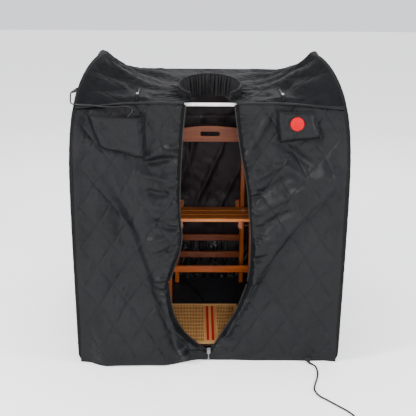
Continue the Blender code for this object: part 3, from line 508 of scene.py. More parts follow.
def tube_mesh(name, pts, radius, mat, sides=12, closed=False, scale=None):
    """Round tube along points, with rounded ends."""
    P = np.array(pts, float)
    n = len(P)
    if closed:
        T = np.roll(P, -1, 0) - np.roll(P, 1, 0)
    else:
        T = np.gradient(P, axis=0)
    T /= np.linalg.norm(T, axis=1, keepdims=True)
    ref = np.array((0.0, 0.0, 1.0)) if abs(T[0][2]) < 0.9 else np.array((1.0, 0.0, 0.0))
    u = np.cross(T[0], ref)
    u /= np.linalg.norm(u)
    rad = np.full(n, radius) if scale is None else radius * np.array(scale)
    verts = []
    for k in range(n):
        u = u - T[k] * (u @ T[k])
        u /= np.linalg.norm(u)
        w = np.cross(T[k], u)
        for j in range(sides):
            a = 2 * math.pi * j / sides
            verts.append(P[k] + rad[k] * (math.cos(a) * u + math.sin(a) * w))
    faces = []
    m = n if closed else n - 1
    if closed:      # line the last ring up with the first
        pass
    off = 0
    if closed:
        best, off = 9e9, 0
        V = np.array(verts)
        for o in range(sides):
            dd = np.linalg.norm(V[(n - 1) * sides + (np.arange(sides)) % sides] - V[(np.arange(sides) + o) % sides], axis=1).sum()
            if dd < best:
                best, off = dd, o
    for k in range(m):
        for j in range(sides):
            a, b = k * sides + j, k * sides + (j + 1) % sides
            k1 = (k + 1) % n
            sh = off if (closed and k1 == 0) else 0
            c, d = k1 * sides + (j + 1 + sh) % sides, k1 * sides + (j + sh) % sides
            faces.append((a, b, c, d))
    if not closed:
        for end in (0, n - 1):
            c = len(verts)
            verts.append(P[end] + T[end] * rad[end] * (0.35 if end else -0.35))
            for j in range(sides):
                a, b = end * sides + j, end * sides + (j + 1) % sides
                faces.append((a, c, b) if end == 0 else (a, b, c))
    return finish_mesh(name, verts, faces, [mat], sharp=50)


def blocks(name, items, mat, bevel=0.0):
    """Many small boxes in one mesh: centre, three half-axis vectors."""
    verts, faces = [], []
    for c, a, b, d in items:
        k = len(verts)
        for sa in (-1, 1):
            for sb in (-1, 1):
                for sd in (-1, 1):
                    verts.append(np.array(c) + sa * np.array(a) + sb * np.array(b) + sd * np.array(d))
        hand = np.dot(np.cross(a, b), d)
        fs = [(0, 1, 3, 2), (4, 6, 7, 5), (0, 4, 5, 1), (2, 3, 7, 6), (0, 2, 6, 4), (1, 5, 7, 3)]
        for f in fs:
            f = f if hand > 0 else f[::-1]
            faces.append(tuple(k + i for i in f))
    ob = finish_mesh(name, verts, faces, [mat], sharp=30)
    if bevel:
        md = ob.modifiers.new("edge", "BEVEL")
        md.width = bevel
        md.segments = 2
    return ob


def paint(node, mat):
    o = nodes[node]
    if not o.material_slots:
        o.data.materials.append(mat)
    for s in o.material_slots:
        s.material = mat


# ------------------------------------------------------------------ cords first
def curve_obj(name, pts, d, mat):
    cu = bpy.data.curves.new(name, "CURVE")
    cu.dimensions = "3D"
    sp = cu.splines.new("POLY")
    sp.points.add(len(pts) - 1)
    for p, q in zip(sp.points, pts):
        p.co = (q[0], q[1], q[2], 1.0)
    sp.use_smooth = True
    cu.bevel_depth = d / 2
    cu.bevel_resolution = 4
    cu.use_fill_caps = True
    cu.materials.append(mat)
    ob = bpy.data.objects.new(name, cu)
    scene.collection.objects.link(ob)
    return ob


def relax(P, rounds):
    """Even out small kinks, both ends kept."""
    P = P.copy()
    for _ in range(rounds):
        P[3:-3] = 0.5 * P[3:-3] + 0.25 * (P[2:-4] + P[4:-2])
    return P


def length_of(P):
    return float(np.linalg.norm(np.diff(np.array(P), axis=0), axis=1).sum())


lead = [(0.3400, -0.3806, 0.0050), (0.3402, -0.3850, 0.0048), (0.3435, -0.3960, 0.0037), (0.3600, -0.4150, 0.0031),
        (0.3635, -0.4520, 0.0031), (0.3570, -0.4950, 0.0031), (0.3430, -0.5440, 0.0031), (0.3380, -0.5760, 0.0031),
        (0.3480, -0.6100, 0.0031), (0.3680, -0.6340, 0.0031), (0.4000, -0.6730, 0.0031), (0.4220, -0.7000, 0.0031),
        (0.4380, -0.7280, 0.0031), (0.4495, -0.7600, 0.0031), (0.4555, -0.7880, 0.0036), (0.4564, -0.8154, 0.0048)]
run, _ = resample(catmull(lead, 12), 90)
coil = []
for k in range(0, int(6.75 * 40) + 1):
    n = k / 40.0
    if n <= 3:
        r, z = 0.045 - 0.006 * n, 0.0048
    elif n <= 4:
        t = n - 3
        r, z = 0.027 - 0.003 * math.sin(math.pi * t), 0.0048 + 0.0061 * t * t * (3 - 2 * t)
    else:
        r, z = 0.027 + 0.006 * (n - 4), 0.0109
    a = math.pi + 2 * math.pi * n
    coil.append((COIL[0] + r * math.cos(a), COIL[1] + r * math.sin(a), z))
PXC, PYC = COIL[0] - 0.0625, COIL[1] + 0.0040
tail = [(COIL[0] - 0.012, COIL[1] + 0.0436, 0.0109), (COIL[0] - 0.030, COIL[1] + 0.0395, 0.0110),
        (COIL[0] - 0.046, COIL[1] + 0.0320, 0.0112), (COIL[0] - 0.058, COIL[1] + 0.0210, 0.0105),
        (PXC, COIL[1] + 0.0110, 0.0096), (PXC, PYC + 0.0008, 0.0094)]
coil_pts = catmull(coil[::2] + tail, 2)
cord_pts = np.concatenate([run[:-1], catmull([tuple(run[-1]), coil[1]], 3)[:-1], coil_pts[2:]])
power_cord = curve_obj("mains_lead", cord_pts, CORD_D, M_CORD)
CORD_LEN = length_of(cord_pts)
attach(power_cord, "root")
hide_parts("power_cord", "power_cord_coil")

# strain relief at the hem: a ribbed tapered sleeve
rel = []
sc = []
for k in range(49):
    t = k / 48.0
    i = t * 0.030 / (CORD_LEN) * (len(cord_pts) - 1)
    s = np.concatenate([[0], np.cumsum(np.linalg.norm(np.diff(cord_pts, axis=0), axis=1))])
    q = t * 0.030
    rel.append([np.interp(q, s, cord_pts[:, j]) for j in range(3)])
    rib = 1.0 - 0.16 * (0.5 - 0.5 * math.cos(2 * math.pi * t * 6))
    sc.append((1.75 - 0.60 * t) * rib)
rel = np.array(rel)
rel[:, 2] = np.maximum(rel[:, 2], 0.0004 + CORD_D / 2 * np.array(sc))
relief = tube_mesh("lead_strain_relief", rel, CORD_D / 2, M_RUBBER, 16, scale=sc)
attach(relief, "root")

# mains plug with a moulded grip, blades stay as modelled
def lofted(name, rows, mat, n=24, power=3.2):
    """Rounded-box loft: rows of (centre, half width vector, half height vector)."""
    verts, faces = [], []
    for c, a, b in rows:
        for k in range(n):
            t = 2 * math.pi * k / n
            ct, st = math.cos(t), math.sin(t)
            u = math.copysign(abs(ct) ** (2 / power), ct)
            w = math.copysign(abs(st) ** (2 / power), st)
            verts.append(np.array(c) + u * np.array(a) + w * np.array(b))
    m = len(rows)
    for i in range(m - 1):
        for k in range(n):
            faces.append((i * n + k, i * n + (k + 1) % n, (i + 1) * n + (k + 1) % n, (i + 1) * n + k))
    faces.append(tuple(range(n))[::-1])
    faces.append(tuple((m - 1) * n + k for k in range(n)))
    ob = finish_mesh(name, verts, faces, [mat], sharp=50)
    bm_fix(ob)
    return ob


def bm_fix(ob):
    import bmesh
    bm = bmesh.new()
    bm.from_mesh(ob.data)
    bmesh.ops.recalc_face_normals(bm, faces=bm.faces[:])
    bm.to_mesh(ob.data)
    bm.free()
    ob.data.update()


rows = []
for k in range(33):
    t = k / 32.0
    y = PYC - 0.0002 - 0.0396 * t
    w = np.interp(t, [0, 0.10, 0.25, 0.42, 0.60, 0.80, 0.93, 1.0], [0.0045, 0.0060, 0.0085, 0.0108, 0.0122, 0.0122, 0.0116, 0.0100])
    h = np.interp(t, [0, 0.10, 0.25, 0.42, 0.60, 0.80, 0.93, 1.0], [0.0042, 0.0052, 0.0066, 0.0078, 0.0086, 0.0088, 0.0084, 0.0070])
    if 0.30 < t < 0.62:
        w -= 0.0007 * (0.5 - 0.5 * math.cos(2 * math.pi * (t - 0.30) / 0.32 * 4))
    rows.append(((PXC, y, 0.0094), (w, 0, 0), (0, 0, h)))
plug = lofted("plug_body", rows, M_RUBBER)
blades = blocks("plug_blades", [((PXC + s * 0.0063, PYC - 0.0480, 0.0094), (0.00075, 0, 0), (0, 0.0078, 0), (0, 0, 0.0032)) for s in (-1, 1)], M_PRONG, 0.0004)
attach(plug, "root")
blades.parent = plug
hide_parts("mains_plug")

# hook-and-loop tie round the coil: a closed band
tz0, tz1 = 0.0004, 0.0156
ri, ro = COIL[0] + 0.0222, COIL[0] + 0.0494
loop = []
for k in range(64):
    t = 2 * math.pi * k / 64
    ct, st = math.cos(t), math.sin(t)
    loop.append(((ri + ro) / 2 + (ro - ri) / 2 * math.copysign(abs(ct) ** 0.5, ct), (tz0 + tz1) / 2 + ((tz1 - tz0) / 2 - 0.0002) * math.copysign(abs(st) ** 0.5, st)))
loop = np.array(loop)
yy = np.linspace(-0.006, 0.006, 9)
G = np.array([[(p[0], COIL[1] + y, p[1]) for p in loop] for y in yy])
tie, A_, _, _ = sheet("coil_tie_band", G, lambda g: np.stack([g[..., 0] - (ri + ro) / 2, g[..., 1] * 0, g[..., 2] - (tz0 + tz1) / 2], -1), 0.0009,
                      [M_TIE, M_TIE, M_TIE], ring=True)
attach(tie, "root")
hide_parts("coil_tie")

# handset cable: from the moulded connector at the left hoop into the left pocket
_cx, _cz = hxy(-0.262)
_ax, _az = hxy(-0.257)
_bx, _bz = hxy(-0.267)
c_tan = Vector((-float(_ax) + float(_bx), 0.010, float(_az) - float(_bz))).normalized()
c_dir = Vector((-0.72, -0.20, -0.66))
c_dir = (c_dir - c_tan * c_dir.dot(c_tan)).normalized()
c_base = Vector((-float(_cx), -0.262, float(_cz))) + c_dir * (HOOP_R + 0.0008)
c_tip = c_base + c_dir * 0.024
c0 = c_tip + c_dir * 0.0018
c1 = c_tip + c_dir * 0.0050
ctrl = [tuple(c0), tuple(c1), tuple(c_tip + c_dir * 0.0085 + Vector((0.0008, -0.0008, -0.0014))), (-0.4500, -0.2690, 0.8860),
        (-0.4480, -0.2860, 0.8775), (-0.4420, -0.3020, 0.8755), (-0.4280, -0.3205, 0.8770), (-0.4080, -0.3265, 0.8775),
        (-0.3850, -0.3250, 0.8765), (-0.3460, -0.3230, 0.8710), (-0.3060, -0.3225, 0.8690), (-0.2740, -0.3230, 0.8730),
        (-0.2530, -0.3245, 0.8710), (-0.2450, -0.3275, 0.8620), (-0.2490, -0.3300, 0.8500), (-0.2590, -0.3312, 0.8445),
        (-0.2618, -0.3312, 0.8400), (-0.2620, -0.3312, 0.8360)]
cpts = relax(resample(catmull(ctrl, 14), 130)[0], 26)
cable = curve_obj("handset_lead", cpts, CTRL_D, M_CORD)
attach(cable, "root")
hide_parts("handset_cable")

# ribbed connector
cr, csz = [], []
for k in range(61):
    t = k / 60.0
    cr.append(tuple(c_base + c_dir * (0.0258 * t)))
    rib = 1.0 - (0.17 * (0.5 - 0.5 * math.cos(2 * math.pi * (t - 0.18) / 0.74 * 6)) if 0.18 < t < 0.92 else 0.0)
    csz.append(np.interp(t, [0, 0.12, 0.18, 1.0], [0.0076, 0.0076, 0.0070, 0.0036]) / 0.0076 * rib)
conn = tube_mesh("cable_boot", cr, 0.0076, M_RUBBER, 24, scale=csz)
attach(conn, "root")
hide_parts("cable_connector")

# foot mat lead
ml = [(-0.4025, 0.2800, 0.0200), (-0.3850, 0.2806, 0.0165), (-0.3550, 0.2880, 0.0085), (-0.3200, 0.3030, 0.0074),
      (-0.2700, 0.3230, 0.0074), (-0.2050, 0.3390, 0.0074), (-0.1450, 0.3400, 0.0074), (-0.0980, 0.3220, 0.0074), (-0.0720, 0.2780, 0.0074),
      (-0.0460, 0.2100, 0.0074), (-0.0180, 0.1350, 0.0074), (-0.0080, 0.0850, 0.0076), (-0.0060, 0.0560, 0.0080),
      (-0.0060, 0.0420, 0.0082)]
mpts = relax(resample(catmull(ml, 14), 110)[0], 12)
mlead = curve_obj("foot_mat_lead", mpts, MATL_D, M_CORD)
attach(mlead, "root")
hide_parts("mat_lead")

# ------------------------------------------------------------------ front walls
R_RIDGE = [(0.425, 0.740), (0.391, 0.646), (0.336, 0.570), (0.272, 0.490), (0.205, 0.400), (0.156, 0.315), (0.110, 0.225), (0.060, 0.140), (0.030, 0.060)]
L_RIDGE = [(-0.372, 0.800), (-0.332, 0.684), (-0.268, 0.562), (-0.219, 0.453), (-0.180, 0.340), (-0.150, 0.225), (-0.115, 0.120), (-0.085, 0.010)]
R_WR = [((0.115, 0.70), (0.195, 0.860), 0.012, 0.0060), ((0.120, 0.620), (0.235, 0.690), 0.013, 0.0075), ((0.128, 0.560), (0.270, 0.650), 0.014, -0.0075),
        ((0.130, 0.510), (0.300, 0.610), 0.013, 0.0080), ((0.140, 0.455), (0.285, 0.545), 0.013, -0.0075), ((0.142, 0.405), (0.240, 0.455), 0.012, 0.0070),
        ((0.140, 0.360), (0.205, 0.385), 0.010, -0.0065), ((0.213, 0.759), (0.350, 0.684), 0.016, -0.0080), ((0.200, 0.700), (0.340, 0.640), 0.018, 0.0060),
        ((0.108, 0.260), (0.165, 0.300), 0.010, 0.0050), ((0.080, 0.190), (0.150, 0.250), 0.010, -0.0050), ((0.020, 0.050), (0.100, 0.075), 0.010, 0.0050),
        ((0.030, 0.085), (0.120, 0.150), 0.011, 0.0045), ((0.240, 0.330), (0.400, 0.480), 0.030, 0.0050), ((0.180, 0.160), (0.380, 0.330), 0.030, -0.0040)]
L_WR = [((-0.240, 0.660), (-0.100, 0.620), 0.013, 0.0085), ((-0.230, 0.690), (-0.110, 0.700), 0.013, -0.0080), ((-0.215, 0.700), (-0.100, 0.752), 0.012, 0.0070),
        ((-0.205, 0.560), (-0.100, 0.516), 0.014, 0.0080), ((-0.220, 0.600), (-0.110, 0.575), 0.012, -0.0080), ((-0.200, 0.500), (-0.105, 0.470), 0.013, -0.0070),
        ((-0.205, 0.430), (-0.098, 0.450), 0.013, 0.0075), ((-0.195, 0.380), (-0.110, 0.400), 0.011, -0.0065), ((-0.190, 0.290), (-0.128, 0.312), 0.011, 0.0065),
        ((-0.180, 0.245), (-0.120, 0.262), 0.010, -0.0055), ((-0.125, 0.110), (-0.078, 0.004), 0.009, 0.0075), ((-0.105, 0.115), (-0.055, 0.010), 0.008, -0.0070),
        ((-0.110, 0.068), (-0.030, 0.052), 0.009, 0.0065), ((-0.150, 0.160), (-0.090, 0.090), 0.010, 0.0060), ((-0.090, 0.040), (-0.020, 0.030), 0.008, -0.0055),
        ((-0.380, 0.560), (-0.270, 0.330), 0.030, 0.0055), ((-0.330, 0.420), (-0.230, 0.160), 0.028, -0.0045)]


def front_relief(side, x, z):
    """Relief of the front wall: the big fold from the hoop to the foot of the zip, wrinkles and quilting."""
    ridge = R_RIDGE if side > 0 else L_RIDGE
    s, t = poly_dist(x, z, ridge)
    s = s * (1 if side > 0 else 1)
    # s > 0 on the outer side of the right wall; make "in" positive towards the zip on both
    into = -s if side > 0 else s
    env = ss(0.0, 0.12, t) * ss(1.02, 0.90, t)
    crest = 0.026 * (1 + 0.18 * np.sin(9.0 * t + side))
    d = np.where(into > 0, crest * (1 - ss(0.0, 0.042, into)) - 0.0060 * ss(0.015, 0.045, into) * ss(0.20, 0.07, into),
                 crest * np.exp(-(into / 0.100) ** 2)) * env
    for p, q, w, h in (R_WR if side > 0 else L_WR):
        d = d + 1.45 * wrinkle(x, z, p, q, w, h)
    ax = np.abs(x)
    ez = ax - zip_x(side, z)
    pull = ss(0.075, 0.0, ez) * ss(0.02, 0.06, z)
    d = d + 0.0022 * pull * 1.5 * np.sin(2 * math.pi * (z * 31 + 0.5 * wobble(x * 0.2, z, 3 + side))) * ss(0.0, 0.012, ez)
    d = d + 0.0024 * wobble(x, z, 21 + side, 10, 3.0, 14.0) * ss(0.0, 0.03, ez)
    d = d + 0.0006 * wobble(x, z, 41 + side, 14, 20.0, 70.0)
    hem = ss(0.0, 0.010, z)
    near_edge = ss(0.0, 0.05, hx(z) - ax)
    d = d * (0.25 + 0.75 * near_edge) * ss(0.0, 0.012, ez) * (0.3 + 0.7 * hem)
    q = quilt(x, z, phase=((0.13, 0.37) if side > 0 else (0.31, 0.22)))
    d = d + q * ss(0.004, 0.022, ez) * near_edge * ss(0.016, 0.030, z)
    d = d - 0.0012 * np.exp(-((ez - 0.0105) / 0.0015) ** 2) - 0.0012 * np.exp(-((z - 0.018) / 0.0018) ** 2)
    # the hem stands forward a little on the left and is drawn back at the zip's foot
    if side < 0:
        d = d + 0.046 * ss(0.27, 0.0, z) * ss(0.03, 0.16, ax) * ss(0.440, 0.34, ax)
    else:
        d = d + 0.005 * ss(0.26, 0.0, z) * ss(0.06, 0.17, ax) * ss(0.436, 0.30, ax)
    return d


def front_grid(side, z0, z1, nz, nx=150):
    zs = np.linspace(z0, z1, nz)
    u = np.linspace(0, 1, nx)
    Z = np.repeat(zs[:, None], nx, 1)
    xi = zip_x(side, Z)
    xo = hx(Z) - 0.001
    X = side * (xi + (xo - xi) * u[None, :])
    G = front_point(X, Z)
    wrap = ss(0.045, 0.0, hx(Z) - np.abs(X))
    G[..., 1] -= 0.0065 * wrap
    return G, X, Z


Z_J = FLAP_Z0 + 0.0055
front_sheets = {}
for side, nm in ((-1, "left"), (1, "right")):
    for part, za, zb, nz in (("upper", Z_J, 0.8795, 205), ("lower", 0.0002, Z_J, 96)):
        G, X, Z = front_grid(side, za, zb, nz)
        d = front_relief(side, X, Z)
        ob, A, B, N = sheet("front_%s_%s" % (part, nm), G, (0, -1, 0), 0.0030, disp=d)
        front_sheets[(side, part)] = (ob, A)
        w = float(np.mean(np.linalg.norm(np.diff(A, axis=1), axis=2).sum(1)))
        if part == "upper":
            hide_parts("front_panel_" + nm, "front_flap_" + nm)
            lo = front_point(np.array(side * fold_x(FLAP_Z0 + 0.006)), np.array(FLAP_Z0 + 0.006))
            hi = front_point(np.array(side * fold_x(0.878)), np.array(0.878))
            f = Vector(hi - lo).normalized()
            n = Vector((0, -1, -0.06))
            perp = f.cross(n).normalized()
            if perp.x * side > 0:
                perp = -perp
            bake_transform(ob)
        else:
            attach(ob, "root")

# zip tape and coil teeth along the open edge
for side, nm in ((-1, "left"), (1, "right")):
    for part, body in (("upper", "front_flap_" + nm), ("lower", "root")):
        A = front_sheets[(side, part)][1]
        zv = np.linspace(Z_J, 0.8795, A.shape[0]) if part == "upper" else np.linspace(0.0002, Z_J, A.shape[0])
        keep = zv >= (0.030 if part == "lower" else Z_J + 0.007)
        edge = A[keep, 0, :]
        edge, L = resample(edge, int(length_of(edge) / 0.0025) + 2)
        T = np.gradient(edge, axis=0)
        T /= np.linalg.norm(T, axis=1, keepdims=True)
        out = np.tile(np.array((0.0, -1.0, 0.0)), (len(edge), 1))
        out -= T * (out * T).sum(1, keepdims=True)
        out /= np.linalg.norm(out, axis=1, keepdims=True)
        inw = np.cross(T, out)
        inw *= np.sign((inw * np.array((-side, 0, 0))).sum(1, keepdims=True) + 1e-9)
        inw = inw / np.linalg.norm(inw, axis=1, keepdims=True)
        prof = [(-0.0085, 0.0008), (-0.0060, 0.0014), (-0.0030, 0.0012), (0.0000, 0.0010), (0.0022, 0.0009), (0.0034, 0.0006)]
        G = np.stack([edge + inw * a + out * b for a, b in prof], axis=1)
        tp, A2, _, _ = sheet("zip_tape_%s_%s" % (part, nm), G, (0, -1, 0), 0.0011, [M_TAPE, M_TAPE, M_TAPE])
        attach(tp, body)
        s = np.concatenate([[0], np.cumsum(np.linalg.norm(np.diff(edge, axis=0), axis=1))])
        items = []
        for q in np.arange(0.002, s[-1] - 0.001, 0.0034):
            c = np.array([np.interp(q, s, edge[:, j]) for j in range(3)])
            t_ = np.array([np.interp(q, s, T[:, j]) for j in range(3)])
            o_ = np.array([np.interp(q, s, out[:, j]) for j in range(3)])
            i_ = np.array([np.interp(q, s, inw[:, j]) for j in range(3)])
            items.append((c + i_ * 0.0038 + o_ * 0.0005, i_ * 0.0020, o_ * 0.0012, t_ * 0.0009))
        th = blocks("zip_teeth_%s_%s" % (part, nm), items, M_TOOTH)
        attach(th, body)

# ------------------------------------------------------------------ top panel with the neck hole
SL_LO, SL_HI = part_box("arm_zip_slider_right")
SL_X = (SL_LO.x + SL_HI.x) / 2
SL_Z = SL_LO.z


def track_z(y):
    """Top of the arm-hole zip's tape: level under the slider's travel, then up to the roof."""
    nat = top_z(0 * y + SL_X, y) + 0.0040
    w = ss(SL_HI.y + 0.098, SL_HI.y + 0.150, y)
    w2 = ss(-0.300, -0.276, y)
    run = nat * (1 - w2) + (SL_Z - 0.0010) * w2
    return run * (1 - w) + nat * w


NA, NB = NECK_A + 0.0040, NECK_B + 0.0040
nt_, nr_ = 420, 90
ang = np.concatenate([np.linspace(math.radians(-2), math.radians(38), 26)[:-1], np.linspace(math.radians(38), math.radians(322), nt_ - 50), np.linspace(math.radians(322), math.radians(362), 26)[1:]])
ang = ang[(ang > math.radians(20)) & (ang < math.radians(340))]
inner_pts, outer_pts = [], []
zipx = float(zip_x(1, np.array(0.879)))


def outer_hit(a, cx=0.0, cy=NECK_CY):
    """Where a ray from the neck's middle meets the top panel's outline."""
    dx, dy = -math.sin(a), -math.cos(a)
    lo, hi = 0.05, 0.9
    for _ in range(40):
        m = 0.5 * (lo + hi)
        x, y = cx + dx * m, cy + dy * m
        yc = min(max(y, -0.31), 0.289)
        inside = (-FRONT_Y1 - 0.0005 < y < REAR_Y + 0.0005) and abs(x) < float(hxy(yc)[0]) - 0.0015
        if inside:
            lo = m
        else:
            hi = m
    return cx + dx * lo, cy + dy * lo


keep = []
for a in ang:
    ox, oy = outer_hit(a)
    ix, iy = -NA * math.sin(a), NECK_CY - NB * math.cos(a)
    if oy < -FRONT_Y1 + 0.002 and abs(ox) < zipx + 0.001:
        continue
    if a < math.radians(38) or a > math.radians(322):
        # along the open zip, from the ridge back to the collar's end
        a38 = math.radians(38)
        ex, ey = NA * math.sin(a38), NECK_CY - NB * math.cos(a38)
        sx = -1 if a < math.pi else 1
        # intersect the ray with the line from the zip's top to the collar's end
        dx, dy = -math.sin(a), -math.cos(a)
        p = np.array((sx * ex, ey))
        q = np.array((sx * zipx, -FRONT_Y1))
        M = np.array([[dx, -(q - p)[0]], [dy, -(q - p)[1]]])
        sol = np.linalg.solve(M, p - np.array((0.0, NECK_CY)))
        ix, iy = dx * sol[0], NECK_CY + dy * sol[0]
    inner_pts.append((ix, iy))
    outer_pts.append((ox, oy))
    keep.append(a)
ip, op, aa = np.array(inner_pts), np.array(outer_pts), np.array(keep)
V = np.linspace(0, 1, nr_)[:, None, None] ** 1.15
P2 = ip[None] * (1 - V) + op[None] * V
X, Y = P2[..., 0], P2[..., 1]
Zt = top_z(X, Y)
G = np.stack([X, Y, Zt], -1)
dist = np.linalg.norm(P2 - ip[None], axis=2)
AN = np.repeat(aa[None], nr_, 0)
dis = 0.0030 * np.sin(AN * 27 + 1.3 * np.sin(AN * 5)) * np.exp(-dist / 0.040) * ss(0.0, 0.006, dist + 0.003)
dis += 0.0022 * np.sin(AN * 41 + 2.0) * np.exp(-dist / 0.022)
dis += 0.0040 * wobble(X, Y, 5, 10, 2.5, 9.0) * ss(0.0, 0.05, dist)
dis += 0.0008 * wobble(X, Y, 6, 12, 18.0, 60.0)
# broad soft sags across the roof, drawn between the two hoops
dis += 0.0050 * np.sin((Y + 0.10) * 2 * math.pi / 0.115 + 1.5 * X) * ss(0.11, 0.22, np.abs(X)) * ss(0.42, 0.30, np.abs(X)) * ss(-0.31, -0.24, Y)
dis += -0.0055 * np.exp(-((Y - 0.060) / 0.030) ** 2) * ss(0.36, 0.10, np.abs(X)) + 0.0040 * np.exp(-((Y - 0.150) / 0.045) ** 2) * ss(0.36, 0.10, np.abs(X))
# quilting on the parts next to the hoops
side_w = ss(0.235, 0.275, np.abs(X))
dis += quilt(Y, X, 0.098, 0.142) * side_w * ss(0.42, 0.38, np.abs(X))
# seam between the plain roof and the quilted shoulders
dis += -0.0018 * np.exp(-((np.abs(X) - 0.262) / 0.0022) ** 2)
edge_in = np.linalg.norm(P2 - op[None], axis=2)
dis *= ss(0.0, 0.020, edge_in)
dis += 0.0012 + 0.0060 * ss(0.050, 0.0, hxy(Y)[0] - np.abs(X))
_w = ss(0.052, 0.016, np.abs(np.abs(X) - SL_X)) * ss(-0.110, -0.150, Y)
dis = dis * (1 - _w) + (track_z(Y) - 0.0032 - Zt) * _w
roof, A_top, _, _ = sheet("roof_panel", G, (0, 0, 1), 0.0028, [M_TOP, M_LINING, M_BIND], disp=dis)
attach(roof, "root")
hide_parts("top_panel_left", "top_panel_right", "top_panel_rear")


# rolled seam along the front ridge, from each hoop to the top of the zip
for side, nm in ((-1, "left"), (1, "right")):
    xr = np.linspace(zipx + 0.0015, 0.4285, 150)
    k = ss(0.050, 0.0, 0.4295 - xr)
    zr = top_z(xr, -FRONT_Y1) - 0.0026 + 0.0030 * k
    yr = -FRONT_Y1 - 0.0012 - 0.0030 * k + 0.0006 * np.sin(xr * 90)
    rs = (0.0044 + 0.0026 * k) * (1 + 0.05 * np.sin(xr * 210 + side))
    zq = top_z(xr, REAR_Y) - 0.0014 + 0.0030 * k
    rear = tube_mesh("rear_roll_" + nm, np.stack([side * np.concatenate([[0.0], xr]), 0 * np.concatenate([[0.0], xr]) + REAR_Y + 0.0012,
                                                  np.concatenate([[zq[0]], zq])], -1), 0.0046, M_QUILT, 16, scale=np.concatenate([[1.0], 1.0 + 0.55 * k]))
    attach(rear, "root")
    roll = tube_mesh("ridge_roll_" + nm, np.stack([side * xr, yr, zr], -1), 0.0044, M_QUILT, 16, scale=rs / 0.0044)
    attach(roll, "root")

# ------------------------------------------------------------------ gathered collar with piping
na = 460
a_ = np.linspace(math.radians(38), math.radians(322), na)
rearw = 0.5 * (1 - np.cos(a_))
nvc = 30
vv = np.linspace(0, 1, nvc)[:, None]
AA = np.repeat(a_[None], nvc, 0)
RW = 0.5 * (1 - np.cos(AA))
ztop = 0.902 + 0.026 * RW
ZZ = 0.858 + (ztop - 0.858) * vv
gath = 0.0042 * np.sin(AA * 46 + 2.2 * np.sin(AA * 7) + 0.7 * np.sin(AA * 17)) + 0.0018 * np.sin(AA * 83 + 1.1)
bell = -0.010 * (1 - vv) * ss(0.15, 0.9, RW)          # leans in towards the neck at its foot
rad = 1.0 + (gath * (0.35 + 0.65 * np.sin(math.pi * np.clip(vv, 0.05, 1.0))) + bell) / 0.118
XC = -NECK_A * np.sin(AA) * rad
YC = NECK_CY - NECK_B * np.cos(AA) * rad
ZC = ZZ + 0.0012 * np.sin(AA * 31) * (1 - vv)
G = np.stack([XC, YC, ZC], -1)
outw = lambda g: np.stack([g[..., 0], g[..., 1] - NECK_CY, g[..., 2] * 0], -1)
collar, A_c, _, _ = sheet("collar_gather", G, outw, 0.0024, [M_COLLAR, M_COLLAR, M_BIND])
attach(collar, "root")
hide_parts("neck_collar")
pip = np.stack([-NECK_A * np.sin(a_) * 1.005, NECK_CY - NECK_B * np.cos(a_) * 1.005,
                0.902 + 0.026 * rearw + 0.0012 + 0.0007 * np.sin(a_ * 46)], -1)
piping = tube_mesh("collar_piping", pip[::2], 0.0036, M_BIND, 12, scale=1 + 0.10 * np.sin(a_[::2] * 92))
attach(piping, "root")
# small eyelet on the collar
ey = []
ea = math.radians(184)
ec = Vector((-NECK_A * math.sin(ea) * 0.96, NECK_CY - NECK_B * math.cos(ea) * 0.96, 0.888))
for k in range(28):
    t = 2 * math.pi * k / 28
    ey.append(ec + Vector((0.0058 * math.cos(t), -0.0035, 0.0058 * math.sin(t))))
eyelet = tube_mesh("collar_eyelet", ey, 0.0014, M_TOOTH, 10, closed=True)
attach(eyelet, "root")

# ------------------------------------------------------------------ side walls
mid_c = np.array((0.0, 0.45))
for side, nm in ((-1, "left"), (1, "right")):
    F = HOOP_F[(HOOP_F[:, 1] < -0.003)]
    F = F[(F[:, 2] > 0.0095)]
    zq = np.concatenate([np.linspace(0.0105, 0.80, 190)[:-1], np.linspace(0.80, 0.9935, 80)])
    fo = HOOP_F[100:]
    order = np.argsort(fo[:, 2])
    yq = np.interp(zq, fo[order, 2], fo[order, 1])
    xq = np.interp(zq, fo[order, 2], fo[order, 0])
    u = np.linspace(-1, 1, 171)[None, :]
    Yg = yq[:, None] * -1 * u
    Zg = np.repeat(zq[:, None], 171, 1)
    Xg = np.repeat(xq[:, None], 171, 1)
    G = np.stack([side * Xg, Yg, Zg], -1)
    edge_d = np.minimum((1 - np.abs(u)) * np.abs(yq[:, None]), 0.05 + 0 * Zg)
    low = ss(0.010, 0.045, Zg)
    wgt = ss(0.004, 0.030, edge_d) * low
    d = 0.0035 * ss(0.0, 0.20, (1 - np.abs(u)) * np.abs(yq[:, None])) * ss(0.02, 0.3, Zg) * ss(0.99, 0.75, Zg)
    d = d + quilt(Yg, Zg, phase=(0.5, 0.1)) * wgt
    d = d + 0.0028 * wobble(Yg, Zg, 61 + side, 10, 2.0, 9.0) * wgt + 0.0006 * wobble(Yg, Zg, 66 + side, 12, 20, 60) * wgt
    for p, q, w, h in [((-0.30, 0.70), (0.05, 0.40), 0.030, 0.0045), ((-0.25, 0.30), (0.20, 0.12), 0.028, -0.0035),
                       ((0.30, 0.72), (0.05, 0.30), 0.032, 0.0045), ((-0.10, 0.85), (0.12, 0.62), 0.026, -0.0040)]:
        d = d + wrinkle(Yg, Zg, p, q, w, h) * wgt
    d = np.minimum(d, 0.0068)
    ob, A, _, _ = sheet("side_wall_" + nm, G, (side, 0, 0), 0.0028, disp=d)
    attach(ob, "root")
    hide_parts("side_panel_" + nm)

